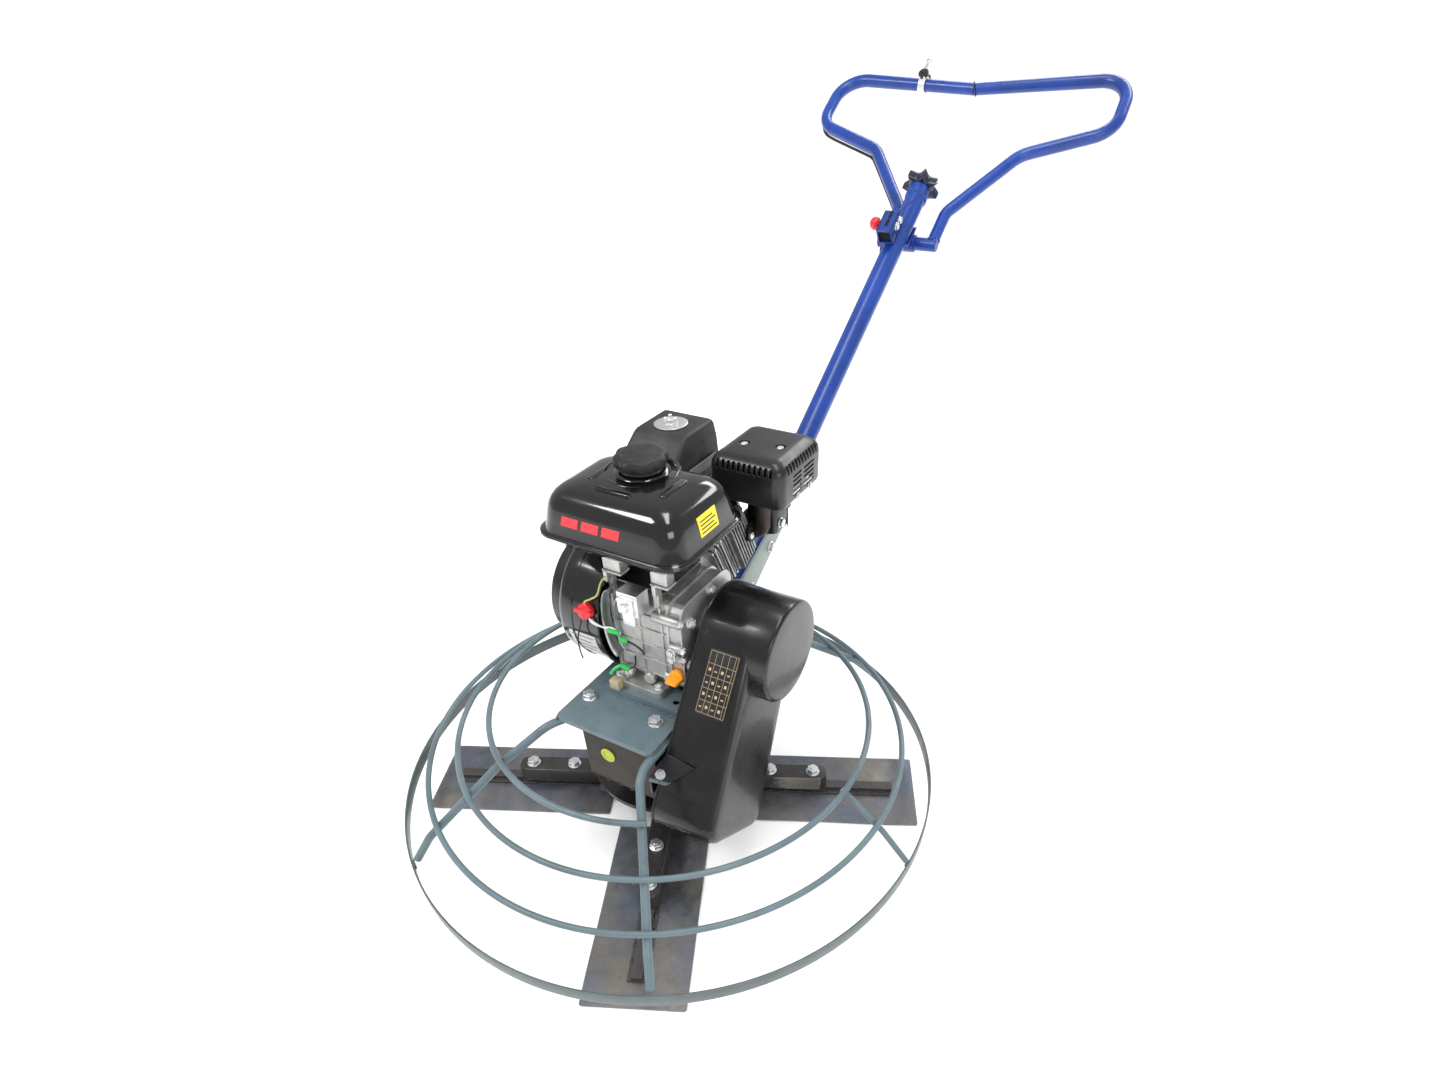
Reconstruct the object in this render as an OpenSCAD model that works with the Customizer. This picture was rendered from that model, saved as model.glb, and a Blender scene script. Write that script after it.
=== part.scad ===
// Walk-behind power trowel, 36 inch class: four-blade rotor, worm gearbox, belt drive with a
// centrifugal clutch, single-cylinder petrol engine and a folding operator handle.
// X points to the belt side, Y to the operator, Z up. The rotor axis is X = Y = 0, the floor is Z = 0.

/* [Rotor] */
// Outer diameter swept by the blade tips
rotor_d = 920; // [880:5:940]
// Length of one blade
blade_l = 350; // [320:5:356]
// Width of one blade
blade_w = 166; // [140:2:180]
// Thickness of the blade steel
blade_t = 3; // [2:0.5:4]
// Angle of the first blade from the X axis at rest
blade_turn = 26; // [20:1:30]
// Height of the pivot line of the blade arms
arm_z = 33; // [32:0.5:35]
// Diameter of the round pivot pin of an arm
arm_pin_d = 24; // [20:1:26]

/* [Guard] */
// Outer diameter of the guard band
guard_d = 962; // [954:2:980]
// Height of the guard band
band_h = 25; // [20:1:30]
// Height of the lower edge of the band above the floor
band_z = 52; // [45:1:60]
// Diameter of the round bar of the guard rings
ring_bar_d = 10; // [8:1:11]
// Diameter of the guard leg tube
leg_d = 14; // [12:1:16]
// Angle of the front and back legs from the X axis
leg_angle = 62; // [60:1:64]

/* [Base] */
// Height of the top of the engine plate
deck_z = 290; // [288:1:292]
// Thickness of the engine plate
deck_t = 8; // [6:1:9]
// Height of the rails under the engine
rail_h = 14; // [12:1:16]
// Distance from the rotor axis to the worm axis
worm_y = 86; // [86:1:88]
// Height of the worm axis
worm_z = 208; // [206:1:210]

/* [Engine] */
// Distance of the crankshaft axis behind the rotor axis
crank_y = 22; // [20:1:24]
// Height of the crankshaft above the engine's feet
crank_h = 106; // [105:1:107]
// Tilt of the cylinder above the horizontal
cylinder_tilt = 25; // [23:1:27]
// Diameter of the output end of the crankshaft
shaft_d = 20; // [19:0.5:21]

/* [Handle] */
// Slope of the handle tube
handle_angle = 33.3; // [33:0.1:34]
// Diameter of the handle tube
tube_d = 42; // [38:1:44]
// Length of the handle tube
tube_l = 990; // [980:5:1000]
// Distance along the tube from its foot to the pivot of the loop
pivot_s = 892; // [860:1:870]
// Diameter of the tube of the handlebar loop
loop_d = 25; // [22:1:26]
// Widest half width of the handlebar loop, to the tube's centre line
loop_w = 322; // [300:2:330]

/* [Hidden] */
$fn = 48;

// Clearances: a running fit on a shaft, and the space between parts that pass each other
fit = 0.05;
gap = 0.5;
// Lap of a straight tube into its elbow, and the extra wall of the elbow
lap = 1;
elbow_skin = 0.15;

// Paint and material colours
guard_paint = [0.47, 0.56, 0.60];
handle_blue = [0.12, 0.24, 0.62];
black = [0.08, 0.08, 0.09];
bare_alloy = [0.62, 0.63, 0.62];
zinc = [0.80, 0.81, 0.82];
rusty_iron = [0.25, 0.20, 0.16];
blade_steel = [0.36, 0.40, 0.45];

// Guard
band_t = 3;
band_r = guard_d / 2 - band_t;
leg_start = 178;
leg_z = deck_z - deck_t - leg_d / 2;
leg_knee = [225, leg_z];
leg_hip = [438, leg_z - 159];
leg_slope = (leg_knee[1] - leg_hip[1]) / (leg_hip[0] - leg_knee[0]);
ring_r = [422, 361, 297];
leg_rise = (leg_d + ring_bar_d) / 2 / cos(atan(leg_slope)) + 1.2;
leg_turn = 56;
leg_offset = 28.4;
strut_drop = ring_bar_d / cos(atan(leg_slope));
function leg_height(r) = leg_z - (r - leg_knee[0]) * leg_slope;
function ring_height(r) = leg_height(r) + leg_rise;

// Base plate and gearbox
plate_x = [-80, 106];
plate_y = [-178, 200];
rail_x = [-42, 106];
rail_rows = [[-90, -42], [72, 120]];
engine_bolts_x = [-26, 49.5];
engine_bolts_y = [-66, 96];
spare_hole = [85, -72];
gearbox_bolts = [[-58, -115], [73, -115], [-48, 52], [60, 52]];
box_x = [-60, 85];
box_y = [-145, 0];
box_wall = 8;
box_z = [150, deck_z - deck_t];
sight_x = -12;
sight_z = 204;
drum_r = 82;
output_d = 28;

// Blade arms, pressure plate and fork
arm_in = 114;
arm_out = 294;
arm_low = blade_t + 13;
arm_top = arm_z + 14;
bolt_r = [188, 268];
lever_y = 46;
plate_z = arm_z + 44;
yoke_y = 100;
yoke_z = plate_z + 34;

// Engine
foot_z = deck_z + rail_h;
crank_z = foot_z + crank_h;
case_x = [-35, 72];
case_y = [-56, 84];
case_z = [foot_z + 6, foot_z + 170];
cover_x = [72, 98];
dip_x = 84;
dip_z = foot_z + 44;
bore_x = 20;
head_z = [132.2, 176];
plug_x = 42;
post_x = [[-34, -26], [48, 58]];
post_y = [[-52, -42], [64, 73]];
tank_low = 536;
flange_z = 568;
tank_x = [-128, 130];
tank_y = [-97, 97];
tank_top = 640;
tank_neck = [-6, 26];
fan_r = 112;
rope_tilt = -55;
rope_exit = [-143, crank_y + 80, crank_z + 30];
switch_up = 18;
cleaner_x = [-112, 0];
cleaner_y = [108, 236];
muffler_x = [32, 162];
muffler_y = [138, 278];
muffler_z = [554, 626];
exhaust = [102.2, 186, 484];
control_pivot = [-14, 24];
crank_web_x = [8, 46];

// Belt drive
belt_x = 139;
belt_w = 13;
clutch_r = 45;
pulley_r = 62;
guard_x = [118, 205];
guard_wall = 2.5;
guard_low = [-worm_y, 202];
guard_high = [34, crank_z - 23];
guard_low_r = 92;
guard_high_r = 83;
bulge = 30;
bulge_r = guard_high_r - 1.5;

// Handle foot and loop, in the handle's own frame
foot = [0, 235, 283];
loop_drop = 38;
knob_r = 38;
leg_left = -46;
leg_right = 60;
sleeve_d = loop_d + 8;
collar_l = 24;
lock_r = 44;

// ---------------------------------------------------------------- shared shapes

function arc(c, r, a0, a1, n) =
    [for (i = [0 : n]) [c[0] + r * cos(a0 + (a1 - a0) * i / n), c[1] + r * sin(a0 + (a1 - a0) * i / n)]];

function round_rect(x, y, r, n = 5) = concat(
    arc([x[1] - r, y[1] - r], r, 0, 90, n), arc([x[0] + r, y[1] - r], r, 90, 180, n),
    arc([x[0] + r, y[0] + r], r, 180, 270, n), arc([x[1] - r, y[0] + r], r, 270, 360, n));

// Outline of a band laid round two circles
function belt_line(c1, r1, c2, r2, n = 20) =
    let (d = c2 - c1, a = atan2(d[1], d[0]), g = acos((r1 - r2) / norm(d)))
    concat(arc(c2, r2, a - g, a + g, n), arc(c1, r1, a + g, a + 360 - g, n));

function grow(v, e) = [v[0] - e, v[1] + e];

module slab(x, y, z) {
    translate([x[0], y[0], z[0]]) cube([x[1] - x[0], y[1] - y[0], z[1] - z[0]]);
}

// A flat shape in Y and Z, drawn out along X
module along_x(x) {
    translate([x[0], 0, 0]) rotate([90, 0, 90]) linear_extrude(x[1] - x[0]) children();
}

module x_rod(d, x, y, z) {
    translate([x[0], y, z]) rotate([0, 90, 0]) cylinder(d = d, h = x[1] - x[0]);
}

module z_rod(d, p, z) {
    translate([p[0], p[1], z[0]]) cylinder(d = d, h = z[1] - z[0]);
}

module rod(p, q, d) {
    v = q - p;
    translate(p) rotate([0, acos(v[2] / norm(v)), atan2(v[1], v[0])]) cylinder(d = d, h = norm(v));
}

module hex_bolt(d, l) {
    cylinder(d = d * 1.9, h = d * 0.65, $fn = 6);
    translate([0, 0, -1.5]) cylinder(d = d * 2.2, h = 1.5);
    translate([0, 0, -l]) cylinder(d = d, h = l - 1.5);
}

// A bent tube in the XY plane through the points p, with a bend radius at each inner point.
// The elbows are a hair thicker, so that the straight pieces end inside them.
function turn_at(p, i) =
    let (u = p[i] - p[i - 1], v = p[i + 1] - p[i]) atan2(u[0] * v[1] - u[1] * v[0], u * v);
function cut_at(p, r, i) = (i <= 0 || i >= len(p) - 1) ? 0 : r[i] * tan(abs(turn_at(p, i)) / 2);

module bent_tube(p, r, d) {
    for (i = [0 : len(p) - 2]) {
        v = p[i + 1] - p[i];
        u = v / norm(v);
        start = p[i] + u * cut_at(p, r, i);
        run = norm(v) - cut_at(p, r, i) - cut_at(p, r, i + 1);
        heading = atan2(u[1], u[0]);
        into = [i > 0 ? lap : 0, i < len(p) - 2 ? lap : 0];
        translate(start - u * into[0]) rotate([0, 90, heading]) cylinder(d = d, h = run + into[0] + into[1]);
        if (i < len(p) - 2) {
            bend = turn_at(p, i + 1);
            side = sign(bend);
            elbow = start + u * run + side * r[i + 1] * [-u[1], u[0]];
            from = bend > 0 ? heading - 90 : heading + 90 + bend;
            translate(elbow) rotate([0, 0, from]) rotate_extrude(angle = abs(bend))
                translate([r[i + 1], 0]) circle(d = d + 2 * elbow_skin);
        }
    }
}

// A round cable swept along a list of points, as one closed skin
function cable_dir(p, i) =
    let (v = p[min(i + 1, len(p) - 1)] - p[max(i - 1, 0)]) v / norm(v);

module cable(p, d, up = [1, 0, 0], sides = 8) {
    n = len(p);
    skin = [for (i = [0 : n - 1])
        let (t = cable_dir(p, i), a = cross(t, up) / norm(cross(t, up)), b = cross(t, a))
        for (k = [0 : sides - 1]) p[i] + d / 2 * (a * cos(360 * k / sides) + b * sin(360 * k / sides))];
    sides_faces = [for (i = [0 : n - 2]) for (k = [0 : sides - 1])
        [i * sides + k, (i + 1) * sides + k, (i + 1) * sides + (k + 1) % sides, i * sides + (k + 1) % sides]];
    first = [for (k = [0 : sides - 1]) k];
    last = [for (k = [sides - 1 : -1 : 0]) (n - 1) * sides + k];
    polyhedron(skin, concat(sides_faces, [first, last]));
}

// ---------------------------------------------------------------- guard and base

module guard_band() {
    color(guard_paint) translate([0, 0, band_z]) difference() {
        cylinder(r = guard_d / 2, h = band_h, $fn = 120);
        translate([0, 0, -1]) cylinder(r = band_r, h = band_h + 2, $fn = 120);
    }
}

// Two closed rings, and an inner one that stays clear of the belt guard
module guard_rings() {
    color(guard_paint) {
        for (i = [0, 1]) translate([0, 0, ring_height(ring_r[i])])
            rotate_extrude($fn = 120) translate([ring_r[i], 0]) circle(d = ring_bar_d, $fn = 24);
        translate([0, 0, ring_height(ring_r[2])]) rotate([0, 0, leg_angle - 2])
            rotate_extrude(angle = 364 - 2 * leg_angle, $fn = 120)
                translate([ring_r[2], 0]) circle(d = ring_bar_d, $fn = 24);
    }
}

module leg() {
    path = [[leg_start, leg_z], leg_knee, leg_hip, [band_r + 12, band_z]];
    intersection() {
        translate([0, -leg_offset, 0]) rotate([90, 0, 0]) bent_tube(path, [0, 60, 45, 0], leg_d);
        cylinder(r = band_r - 0.1, h = deck_z, $fn = 120);
    }
}

module side_strut() {
    r = ring_r;
    bend = [r[0] + 8, ring_height(r[0] + 8) - strut_drop];
    path = [[r[1] - 8, ring_height(r[1] - 8) - strut_drop], bend, [band_r + 8, band_z + 12]];
    intersection() {
        rotate([90, 0, 0]) bent_tube(path, [0, 40, 0], ring_bar_d);
        cylinder(r = band_r - 0.1, h = deck_z, $fn = 120);
    }
}

module guard_spokes() {
    color(guard_paint) {
        for (m = [0, 1], n = [0, 1]) mirror([m, 0, 0]) mirror([0, n, 0]) rotate([0, 0, -leg_turn]) leg();
        for (a = [-2, 175]) rotate([0, 0, a]) side_strut();
    }
}

module rail(y) {
    difference() {
        slab(rail_x, y, [deck_z, foot_z]);
        slab(grow(rail_x, 1), grow(y, -3), [deck_z - 1, foot_z - 3]);
    }
}

// Welded plate with two folded channels that carry the engine
module engine_plate() {
    color(guard_paint) difference() {
        union() {
            translate([0, 0, deck_z - deck_t]) linear_extrude(deck_t)
                polygon(round_rect(plate_x, plate_y, 10));
            for (y = rail_rows) rail(y);
        }
        for (p = gearbox_bolts) z_rod(12.4, p, [deck_z - deck_t - 1, deck_z + 1]);
        for (x = engine_bolts_x, y = engine_bolts_y) z_rod(8.4, [x, y], [deck_z + 1, foot_z + 1]);
        z_rod(11, spare_hole, [deck_z + 1, foot_z + 1]);
        for (x = [-44, 44]) z_rod(10.4, [x, 178], [deck_z - deck_t - 1, deck_z + 1]);
    }
}

module frame_bolts() {
    color(zinc) {
        for (p = gearbox_bolts) translate([p[0], p[1], deck_z + 1.5]) hex_bolt(12, 22);
        for (x = engine_bolts_x, y = engine_bolts_y) translate([x, y, foot_z + 13.5]) hex_bolt(8, 24);
        for (x = [-44, 44]) translate([x, 178, deck_z + 6.5]) hex_bolt(10, 24);
    }
}

module gearbox_outline(e) {
    square_x = grow(box_x, e);
    union() {
        translate([square_x[0], box_y[0] - e]) square([square_x[1] - square_x[0], box_y[1] - box_y[0] + e]);
        circle(r = drum_r + e, $fn = 72);
    }
}

module gearbox_housing() {
    color(rusty_iron) difference() {
        union() {
            translate([0, 0, box_z[0]]) linear_extrude(box_z[1] - box_z[0]) gearbox_outline(0);
            translate([0, 0, box_z[1] - 12]) linear_extrude(12)
                polygon(round_rect([-72, 88], [-134, 74], 14));
            x_rod(66, [box_x[1] - 5, box_x[1] + 10], -worm_y, worm_z);
        }
        translate([0, 0, box_z[0] - 1]) linear_extrude(box_z[1] - box_z[0] - 11) gearbox_outline(-box_wall);
        for (p = gearbox_bolts) z_rod(12.2, p, [box_z[1] - 18, box_z[1] + 1]);
        x_rod(47, [box_x[0] - 1, box_x[1] + 11], -worm_y, worm_z);
        translate([sight_x, box_y[0] - 1, sight_z]) rotate([-90, 0, 0]) cylinder(d = 22.2, h = box_wall + 2);
        z_rod(52, [0, 0], [box_z[1] - 13, box_z[1] - 3.9]);
    }
}

// Bottom cover with the lower bearing seat, the shaft seal boss and the pivot of the fork
module gearbox_cover() {
    color(rusty_iron) difference() {
        union() {
            translate([0, 0, box_z[0] - 10]) linear_extrude(10) gearbox_outline(0);
            z_rod(64, [0, 0], [box_z[0] - 24, box_z[0] - 9]);
            z_rod(66, [0, 0], [box_z[0] - 1, box_z[0] + 8]);
            for (x = [[-66, -56.5], [56.5, 66]]) {
                slab(x, [30, yoke_y + 12], [box_z[0] - 10, box_z[0]]);
                slab(x, [yoke_y - 12, yoke_y + 12], [yoke_z - 12, box_z[0] - 9]);
            }
            x_rod(14 - 2 * fit, [-66, 66], yoke_y, yoke_z);
        }
        z_rod(52, [0, 0], [box_z[0] - 8, box_z[0] + 9]);
        z_rod(output_d + 2, [0, 0], [box_z[0] - 25, box_z[0]]);
    }
}

module sight_plug() {
    color([0.72, 0.70, 0.10]) translate([sight_x, box_y[0], sight_z]) rotate([-90, 0, 0]) {
        translate([0, 0, -6]) cylinder(d = 28, h = 6);
        cylinder(d = 22, h = box_wall);
    }
}

// Two bearings of the output shaft and two of the worm shaft
module bearing(outer, inner, w) {
    difference() {
        cylinder(d = outer, h = w);
        translate([0, 0, -1]) cylinder(d = inner + 2 * fit, h = w + 2);
    }
}

module gearbox_bearings() {
    color(zinc) {
        translate([0, 0, box_z[0] - 7.9]) bearing(51.9, output_d, 15);
        translate([0, 0, box_z[1] - 10.9]) bearing(51.9, output_d, 7);
        for (x = [box_x[0] + 1, box_x[1] - 6]) translate([x, -worm_y, worm_z]) rotate([0, 90, 0])
            bearing(46.9, 25, 14);
    }
}

// ---------------------------------------------------------------- rotor

module output_shaft() {
    color(zinc) {
        z_rod(output_d, [0, 0], [arm_z + 1, box_z[1] - 4]);
    }
}

module worm_wheel() {
    teeth = 36;
    color([0.72, 0.53, 0.22]) difference() {
        translate([0, 0, worm_z - 15]) union() {
            cylinder(r = 56, h = 30);
            for (i = [0 : teeth - 1]) rotate([0, 0, 360 / teeth * i])
                translate([54, -2, 0]) cube([5.6, 4, 30]);
        }
        z_rod(output_d, [0, 0], [worm_z - 16, worm_z + 16]);
    }
}

// Cross hub with four sockets for the arm pins
module spider_hub() {
    color(black) difference() {
        union() {
            z_rod(84, [0, 0], [arm_z - 24, arm_z + 24]);
            z_rod(190, [0, 0], [arm_z + 12, arm_z + 24]);
            for (i = [0 : 3]) rotate([0, 0, blade_turn + 90 * i]) x_rod(arm_pin_d + 20, [20, 112], 0, arm_z);
        }
        z_rod(output_d, [0, 0], [arm_z + 1, arm_z + 30]);
        for (i = [0 : 3]) rotate([0, 0, blade_turn + 90 * i])
            x_rod(arm_pin_d + 2 * fit, [38, 113], 0, arm_z);
    }
}

// Arm with its pivot pin, the bolts that hold the blade, and the finger that the pressure plate moves
module arm_at_x() {
    color(black) difference() {
        union() {
            x_rod(arm_pin_d, [39, arm_in + 20], 0, arm_z);
            slab([arm_in, arm_out - 18], [-18, 18], [arm_low, arm_top]);
            z_rod(36, [arm_out - 18, 0], [arm_low, arm_top]);
            slab([arm_in, arm_in + 16], [0, lever_y + 8], [arm_z - 8, arm_z + 8]);
        }
        for (r = bolt_r) z_rod(12, [r, 0], [arm_low - 1, arm_top + 1]);
    }
    color(zinc) for (r = bolt_r) translate([r, 0, arm_top + 1.5]) hex_bolt(12, arm_top - arm_low + 1.5);
    color(zinc) z_rod(10, [arm_in + 8, lever_y], [arm_z + 8, plate_z - 1]);
}

module blade_at_x() {
    out = rotor_d / 2;
    inn = out - blade_l;
    color(blade_steel) {
        translate([inn, -blade_w / 2, 0]) cube([blade_l, blade_w, blade_t]);
        difference() {
            slab([inn + 12, out - 42], [-16, 16], [blade_t, arm_low]);
            for (r = [320, 355, 390]) z_rod(10, [r, 0], [blade_t, arm_low + 1]);
        }
    }
}

module arm(i) {
    rotate([0, 0, blade_turn + 90 * i]) arm_at_x();
}

module blade(i) {
    rotate([0, 0, blade_turn + 90 * i]) blade_at_x();
}

// Plate that slides on the shaft and tips the arms
module pressure_plate() {
    color(zinc) difference() {
        union() {
            z_rod(278, [0, 0], [plate_z, plate_z + 8]);
            z_rod(60, [0, 0], [plate_z, plate_z + 20]);
        }
        z_rod(output_d + 2 * fit, [0, 0], [plate_z - 1, plate_z + 21]);
    }
}

// Fork that presses on the plate, and its lever for the pitch cable
module lift_yoke() {
    color(black) difference() {
        union() {
            for (s = [-1, 1]) {
                slab([s * 46 - 7, s * 46 + 7], [-6, yoke_y], [yoke_z - 8, yoke_z + 8]);
                slab([s * 46 - 7, s * 46 + 7], [-6, 6], [plate_z + 8 + gap, yoke_z]);
            }
            slab([-53, 53], [yoke_y - 12, yoke_y + 12], [yoke_z - 12, yoke_z + 12]);
            slab([-8, 8], [yoke_y, yoke_y + 76], [yoke_z - 8, yoke_z + 8]);
        }
        x_rod(14, [-60, 60], yoke_y, yoke_z);
        z_rod(8, [0, yoke_y + 66], [yoke_z - 9, yoke_z + 9]);
    }
}

// ---------------------------------------------------------------- worm, belt and clutch

module worm_shaft() {
    color(zinc) {
        x_rod(25, [box_x[0], box_x[1] + 8.5], -worm_y, worm_z);
        x_rod(20, [box_x[1] + 8.5, belt_x + 14], -worm_y, worm_z);
        x_rod(51, [-38, 38], -worm_y, worm_z);
    }
}

// V-belt pulley centred on the belt line
module v_pulley(r, bore) {
    half = belt_w / 2;
    rotate([0, 90, 0]) rotate_extrude($fn = 72) polygon([
        [bore, -12], [r + 6, -12], [r + 6, -half - 2], [r - 6, -half + 1.5], [r - 6, half - 1.5],
        [r + 6, half + 2], [r + 6, 12], [bore, 12]]);
}

module input_pulley() {
    color(black) translate([belt_x, -worm_y, worm_z]) v_pulley(pulley_r, 10);
}

module drive_belt() {
    inner_c = [crank_y, crank_z];
    low_c = [-worm_y, worm_z];
    color([0.10, 0.10, 0.11]) along_x([belt_x - 4.4, belt_x + 4.4]) difference() {
        polygon(belt_line(low_c, pulley_r + 4, inner_c, clutch_r + 4, 32));
        polygon(belt_line(low_c, pulley_r - 4, inner_c, clutch_r - 4, 32));
    }
}

module clutch_drum() {
    color(zinc) translate([0, crank_y, crank_z]) difference() {
        union() {
            translate([belt_x, 0, 0]) v_pulley(clutch_r, shaft_d / 2 + fit);
            x_rod(108, [belt_x + 12, belt_x + 40], 0, 0);
        }
        x_rod(98, [belt_x + 16, belt_x + 41], 0, 0);
        x_rod(shaft_d + 2 * fit, [belt_x + 11, belt_x + 17], 0, 0);
    }
}

// Clutch hub keyed to the shaft, with its two shoes
module clutch_hub() {
    color([0.35, 0.33, 0.30]) translate([0, crank_y, crank_z]) {
        difference() {
            x_rod(52, [belt_x + 17, belt_x + 38], 0, 0);
            x_rod(shaft_d, [belt_x + 16, belt_x + 39], 0, 0);
        }
        difference() {
            x_rod(94, [belt_x + 19, belt_x + 36], 0, 0);
            x_rod(56, [belt_x + 18, belt_x + 37], 0, 0);
            slab([belt_x + 18, belt_x + 37], [-50, 50], [-4, 4]);
        }
    }
}

function guard_outline(e) = belt_line(guard_low, guard_low_r + e, guard_high, guard_high_r + e, 24);

// Moulded cover over the belt, with a drum over the clutch
module belt_guard() {
    color(black) difference() {
        union() {
            along_x(guard_x) polygon(guard_outline(0));
            x_rod(2 * bulge_r, [guard_x[1] - 1, guard_x[1] + bulge], guard_high[0], guard_high[1]);
        }
        along_x([guard_x[0] - 1, guard_x[1] - guard_wall]) polygon(guard_outline(-guard_wall));
        x_rod(2 * (bulge_r - guard_wall), [guard_x[1] - 5, guard_x[1] + bulge - guard_wall],
            guard_high[0], guard_high[1]);
    }
}

// Steel back plate of the belt guard, with the slotted ear that bolts to the gearbox
module belt_guard_back() {
    color(black) difference() {
        union() {
            along_x([guard_x[0] - 3, guard_x[0]]) polygon(guard_outline(-1));
            slab([box_x[1] + 12, guard_x[0] - 1], [-178, -150], [226, 230]);
            slab([box_x[1] + 12, box_x[1] + 16], [-178, -128], [200, 230]);
        }
        x_rod(72, [guard_x[0] - 4, guard_x[0] + 1], -worm_y, worm_z);
        x_rod(70, [guard_x[0] - 4, guard_x[0] + 1], crank_y, crank_z);
        x_rod(9, [box_x[1], box_x[1] + 20], -164, 214);
    }
}

// ---------------------------------------------------------------- engine

// Frame of the cylinder: local Z runs from the crankshaft out along the barrel
module on_cylinder() {
    translate([bore_x, crank_y, crank_z]) rotate([cylinder_tilt - 90, 0, 0]) children();
}

// Crankcase with its feet, the barrel with its fins, and the four posts under the tank
module crankcase() {
    color(bare_alloy) difference() {
        union() {
            for (x = post_x, y = post_y) slab(x, y, [case_z[1] - 16, tank_low]);
            translate([0, 0, foot_z]) linear_extrude(12) polygon(round_rect([-35.5, 60], [-80, 110], 8));
            along_x(case_x) polygon(round_rect(case_y, case_z, 26));
            on_cylinder() translate([0, 0, 40]) cylinder(d = 92, h = 92);
            for (i = [0 : 5]) on_cylinder() translate([-52, -50, 84 + i * 9]) cube([104, 100, 3]);
        }
        along_x([case_x[0] + 7, case_x[1] + 1]) polygon(round_rect(grow(case_y, -7), grow(case_z, -7), 20));
        on_cylinder() cylinder(d = 68, h = 140);
        x_rod(25 + 2 * fit, [case_x[0] - 1, case_x[0] + 9], crank_y, crank_z);
        for (x = engine_bolts_x, y = engine_bolts_y) z_rod(8.2, [x, y], [foot_z - 1, foot_z + 13]);
    }
}

module side_cover() {
    bosses = [for (a = [-40 : 60 : 290]) [crank_y - 8 + 62 * cos(a), crank_z - 18 + 74 * sin(a)]];
    color(bare_alloy) difference() {
        union() {
            along_x(cover_x) polygon(round_rect(case_y, case_z, 26));
            x_rod(64, [cover_x[1] - 1, cover_x[1] + 8], crank_y, crank_z);
            for (b = bosses) x_rod(15, [cover_x[0], cover_x[1] + 5], b[0], b[1]);
        }
        along_x([cover_x[0] - 1, cover_x[1] - 6]) polygon(round_rect(grow(case_y, -7), grow(case_z, -7), 20));
        x_rod(25 + 2 * fit, [cover_x[0] - 1, cover_x[1] + 10], crank_y, crank_z);
        translate([dip_x, case_y[0] - 12, dip_z]) rotate([-90, 0, 0]) cylinder(d = 18.2, h = 24);
    }
}

module cylinder_head() {
    color(bare_alloy) on_cylinder() difference() {
        union() {
            translate([0, 0, head_z[0]]) linear_extrude(head_z[1] - head_z[0])
                polygon(round_rect([-54, 62], [-54, 54], 10));
            translate([0, 0, head_z[1]]) linear_extrude(46) polygon(round_rect([-50, 28], [-32, 42], 14));
        }
        translate([0, 0, head_z[0] - 1]) cylinder(d = 66, h = 8);
        translate([0, 0, head_z[1] + 4]) linear_extrude(38) polygon(round_rect([-46, 24], [-28, 38], 10));
        for (i = [0 : 3]) translate([54, -60, head_z[0] + 6 + i * 9]) cube([20, 120, 5]);
        translate([plug_x, 0, head_z[1] - 24]) cylinder(d = 14, h = 26);
    }
}

module spark_plug() {
    color([0.07, 0.07, 0.08]) on_cylinder() translate([plug_x, 0, head_z[1] - 23]) {
        cylinder(d = 13.6, h = 24);
        translate([0, 0, 23.4]) cylinder(d = 19, h = 36);
    }
}

module fan_cover() {
    x = [-118, case_x[0] - 1];
    duct = [crank_y + 60, crank_y + 124];
    color(black) difference() {
        union() {
            x_rod(2 * fan_r, x, crank_y, crank_z);
            slab(x, duct, [crank_z - 50, crank_z + 108]);
        }
        x_rod(2 * fan_r - 6, [x[0] + 3, x[1] + 1], crank_y, crank_z);
        slab([x[0] + 3, x[1] + 1], [duct[0] - 40, duct[1] - 3], [crank_z - 47, crank_z + 105]);
        x_rod(150, [x[0] - 1, x[0] + 4], crank_y, crank_z);
    }
}

module recoil_housing() {
    x = [-160, -118];
    color(black) difference() {
        union() {
            x_rod(184, [x[0] + 10, x[1]], crank_y, crank_z);
            x_rod(150, [x[0], x[1] - 5], crank_y, crank_z);
        }
        x_rod(176, [x[0] + 14, x[1] + 1], crank_y, crank_z);
        x_rod(140, [x[0] + 4, x[1] - 4], crank_y, crank_z);
        for (i = [0 : 17]) translate([0, crank_y, crank_z]) rotate([20 * i, 0, 0])
            slab([x[0] - 1, x[0] + 5], [34, 62], [-3, 3]);
        translate(rope_exit) rotate([rope_tilt, 0, 0]) translate([0, 0, -8]) cylinder(d = 9, h = 30);
    }
}

// Starter grip with the first stretch of its rope, which lies inside the housing at rest
module recoil_grip() {
    color(black) translate(rope_exit) rotate([rope_tilt, 0, 0]) {
        translate([0, 0, -90]) cylinder(d = 5, h = 122);
        translate([-22, 0, 43]) rotate([0, 90, 0]) cylinder(d = 18, h = 44);
        translate([0, 0, 30]) cylinder(d = 14, h = 12);
    }
}

// One half of the tank: a rounded slab that narrows from z0 to z1
module tank_half(z0, z1, e0, e1) {
    hull() {
        translate([0, 0, z0]) linear_extrude(0.5) polygon(round_rect(grow(tank_x, e0), grow(tank_y, e0), 26));
        translate([0, 0, z1 - 0.5]) linear_extrude(0.5)
            polygon(round_rect(grow(tank_x, e1), grow(tank_y, e1), 30));
    }
}

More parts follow.
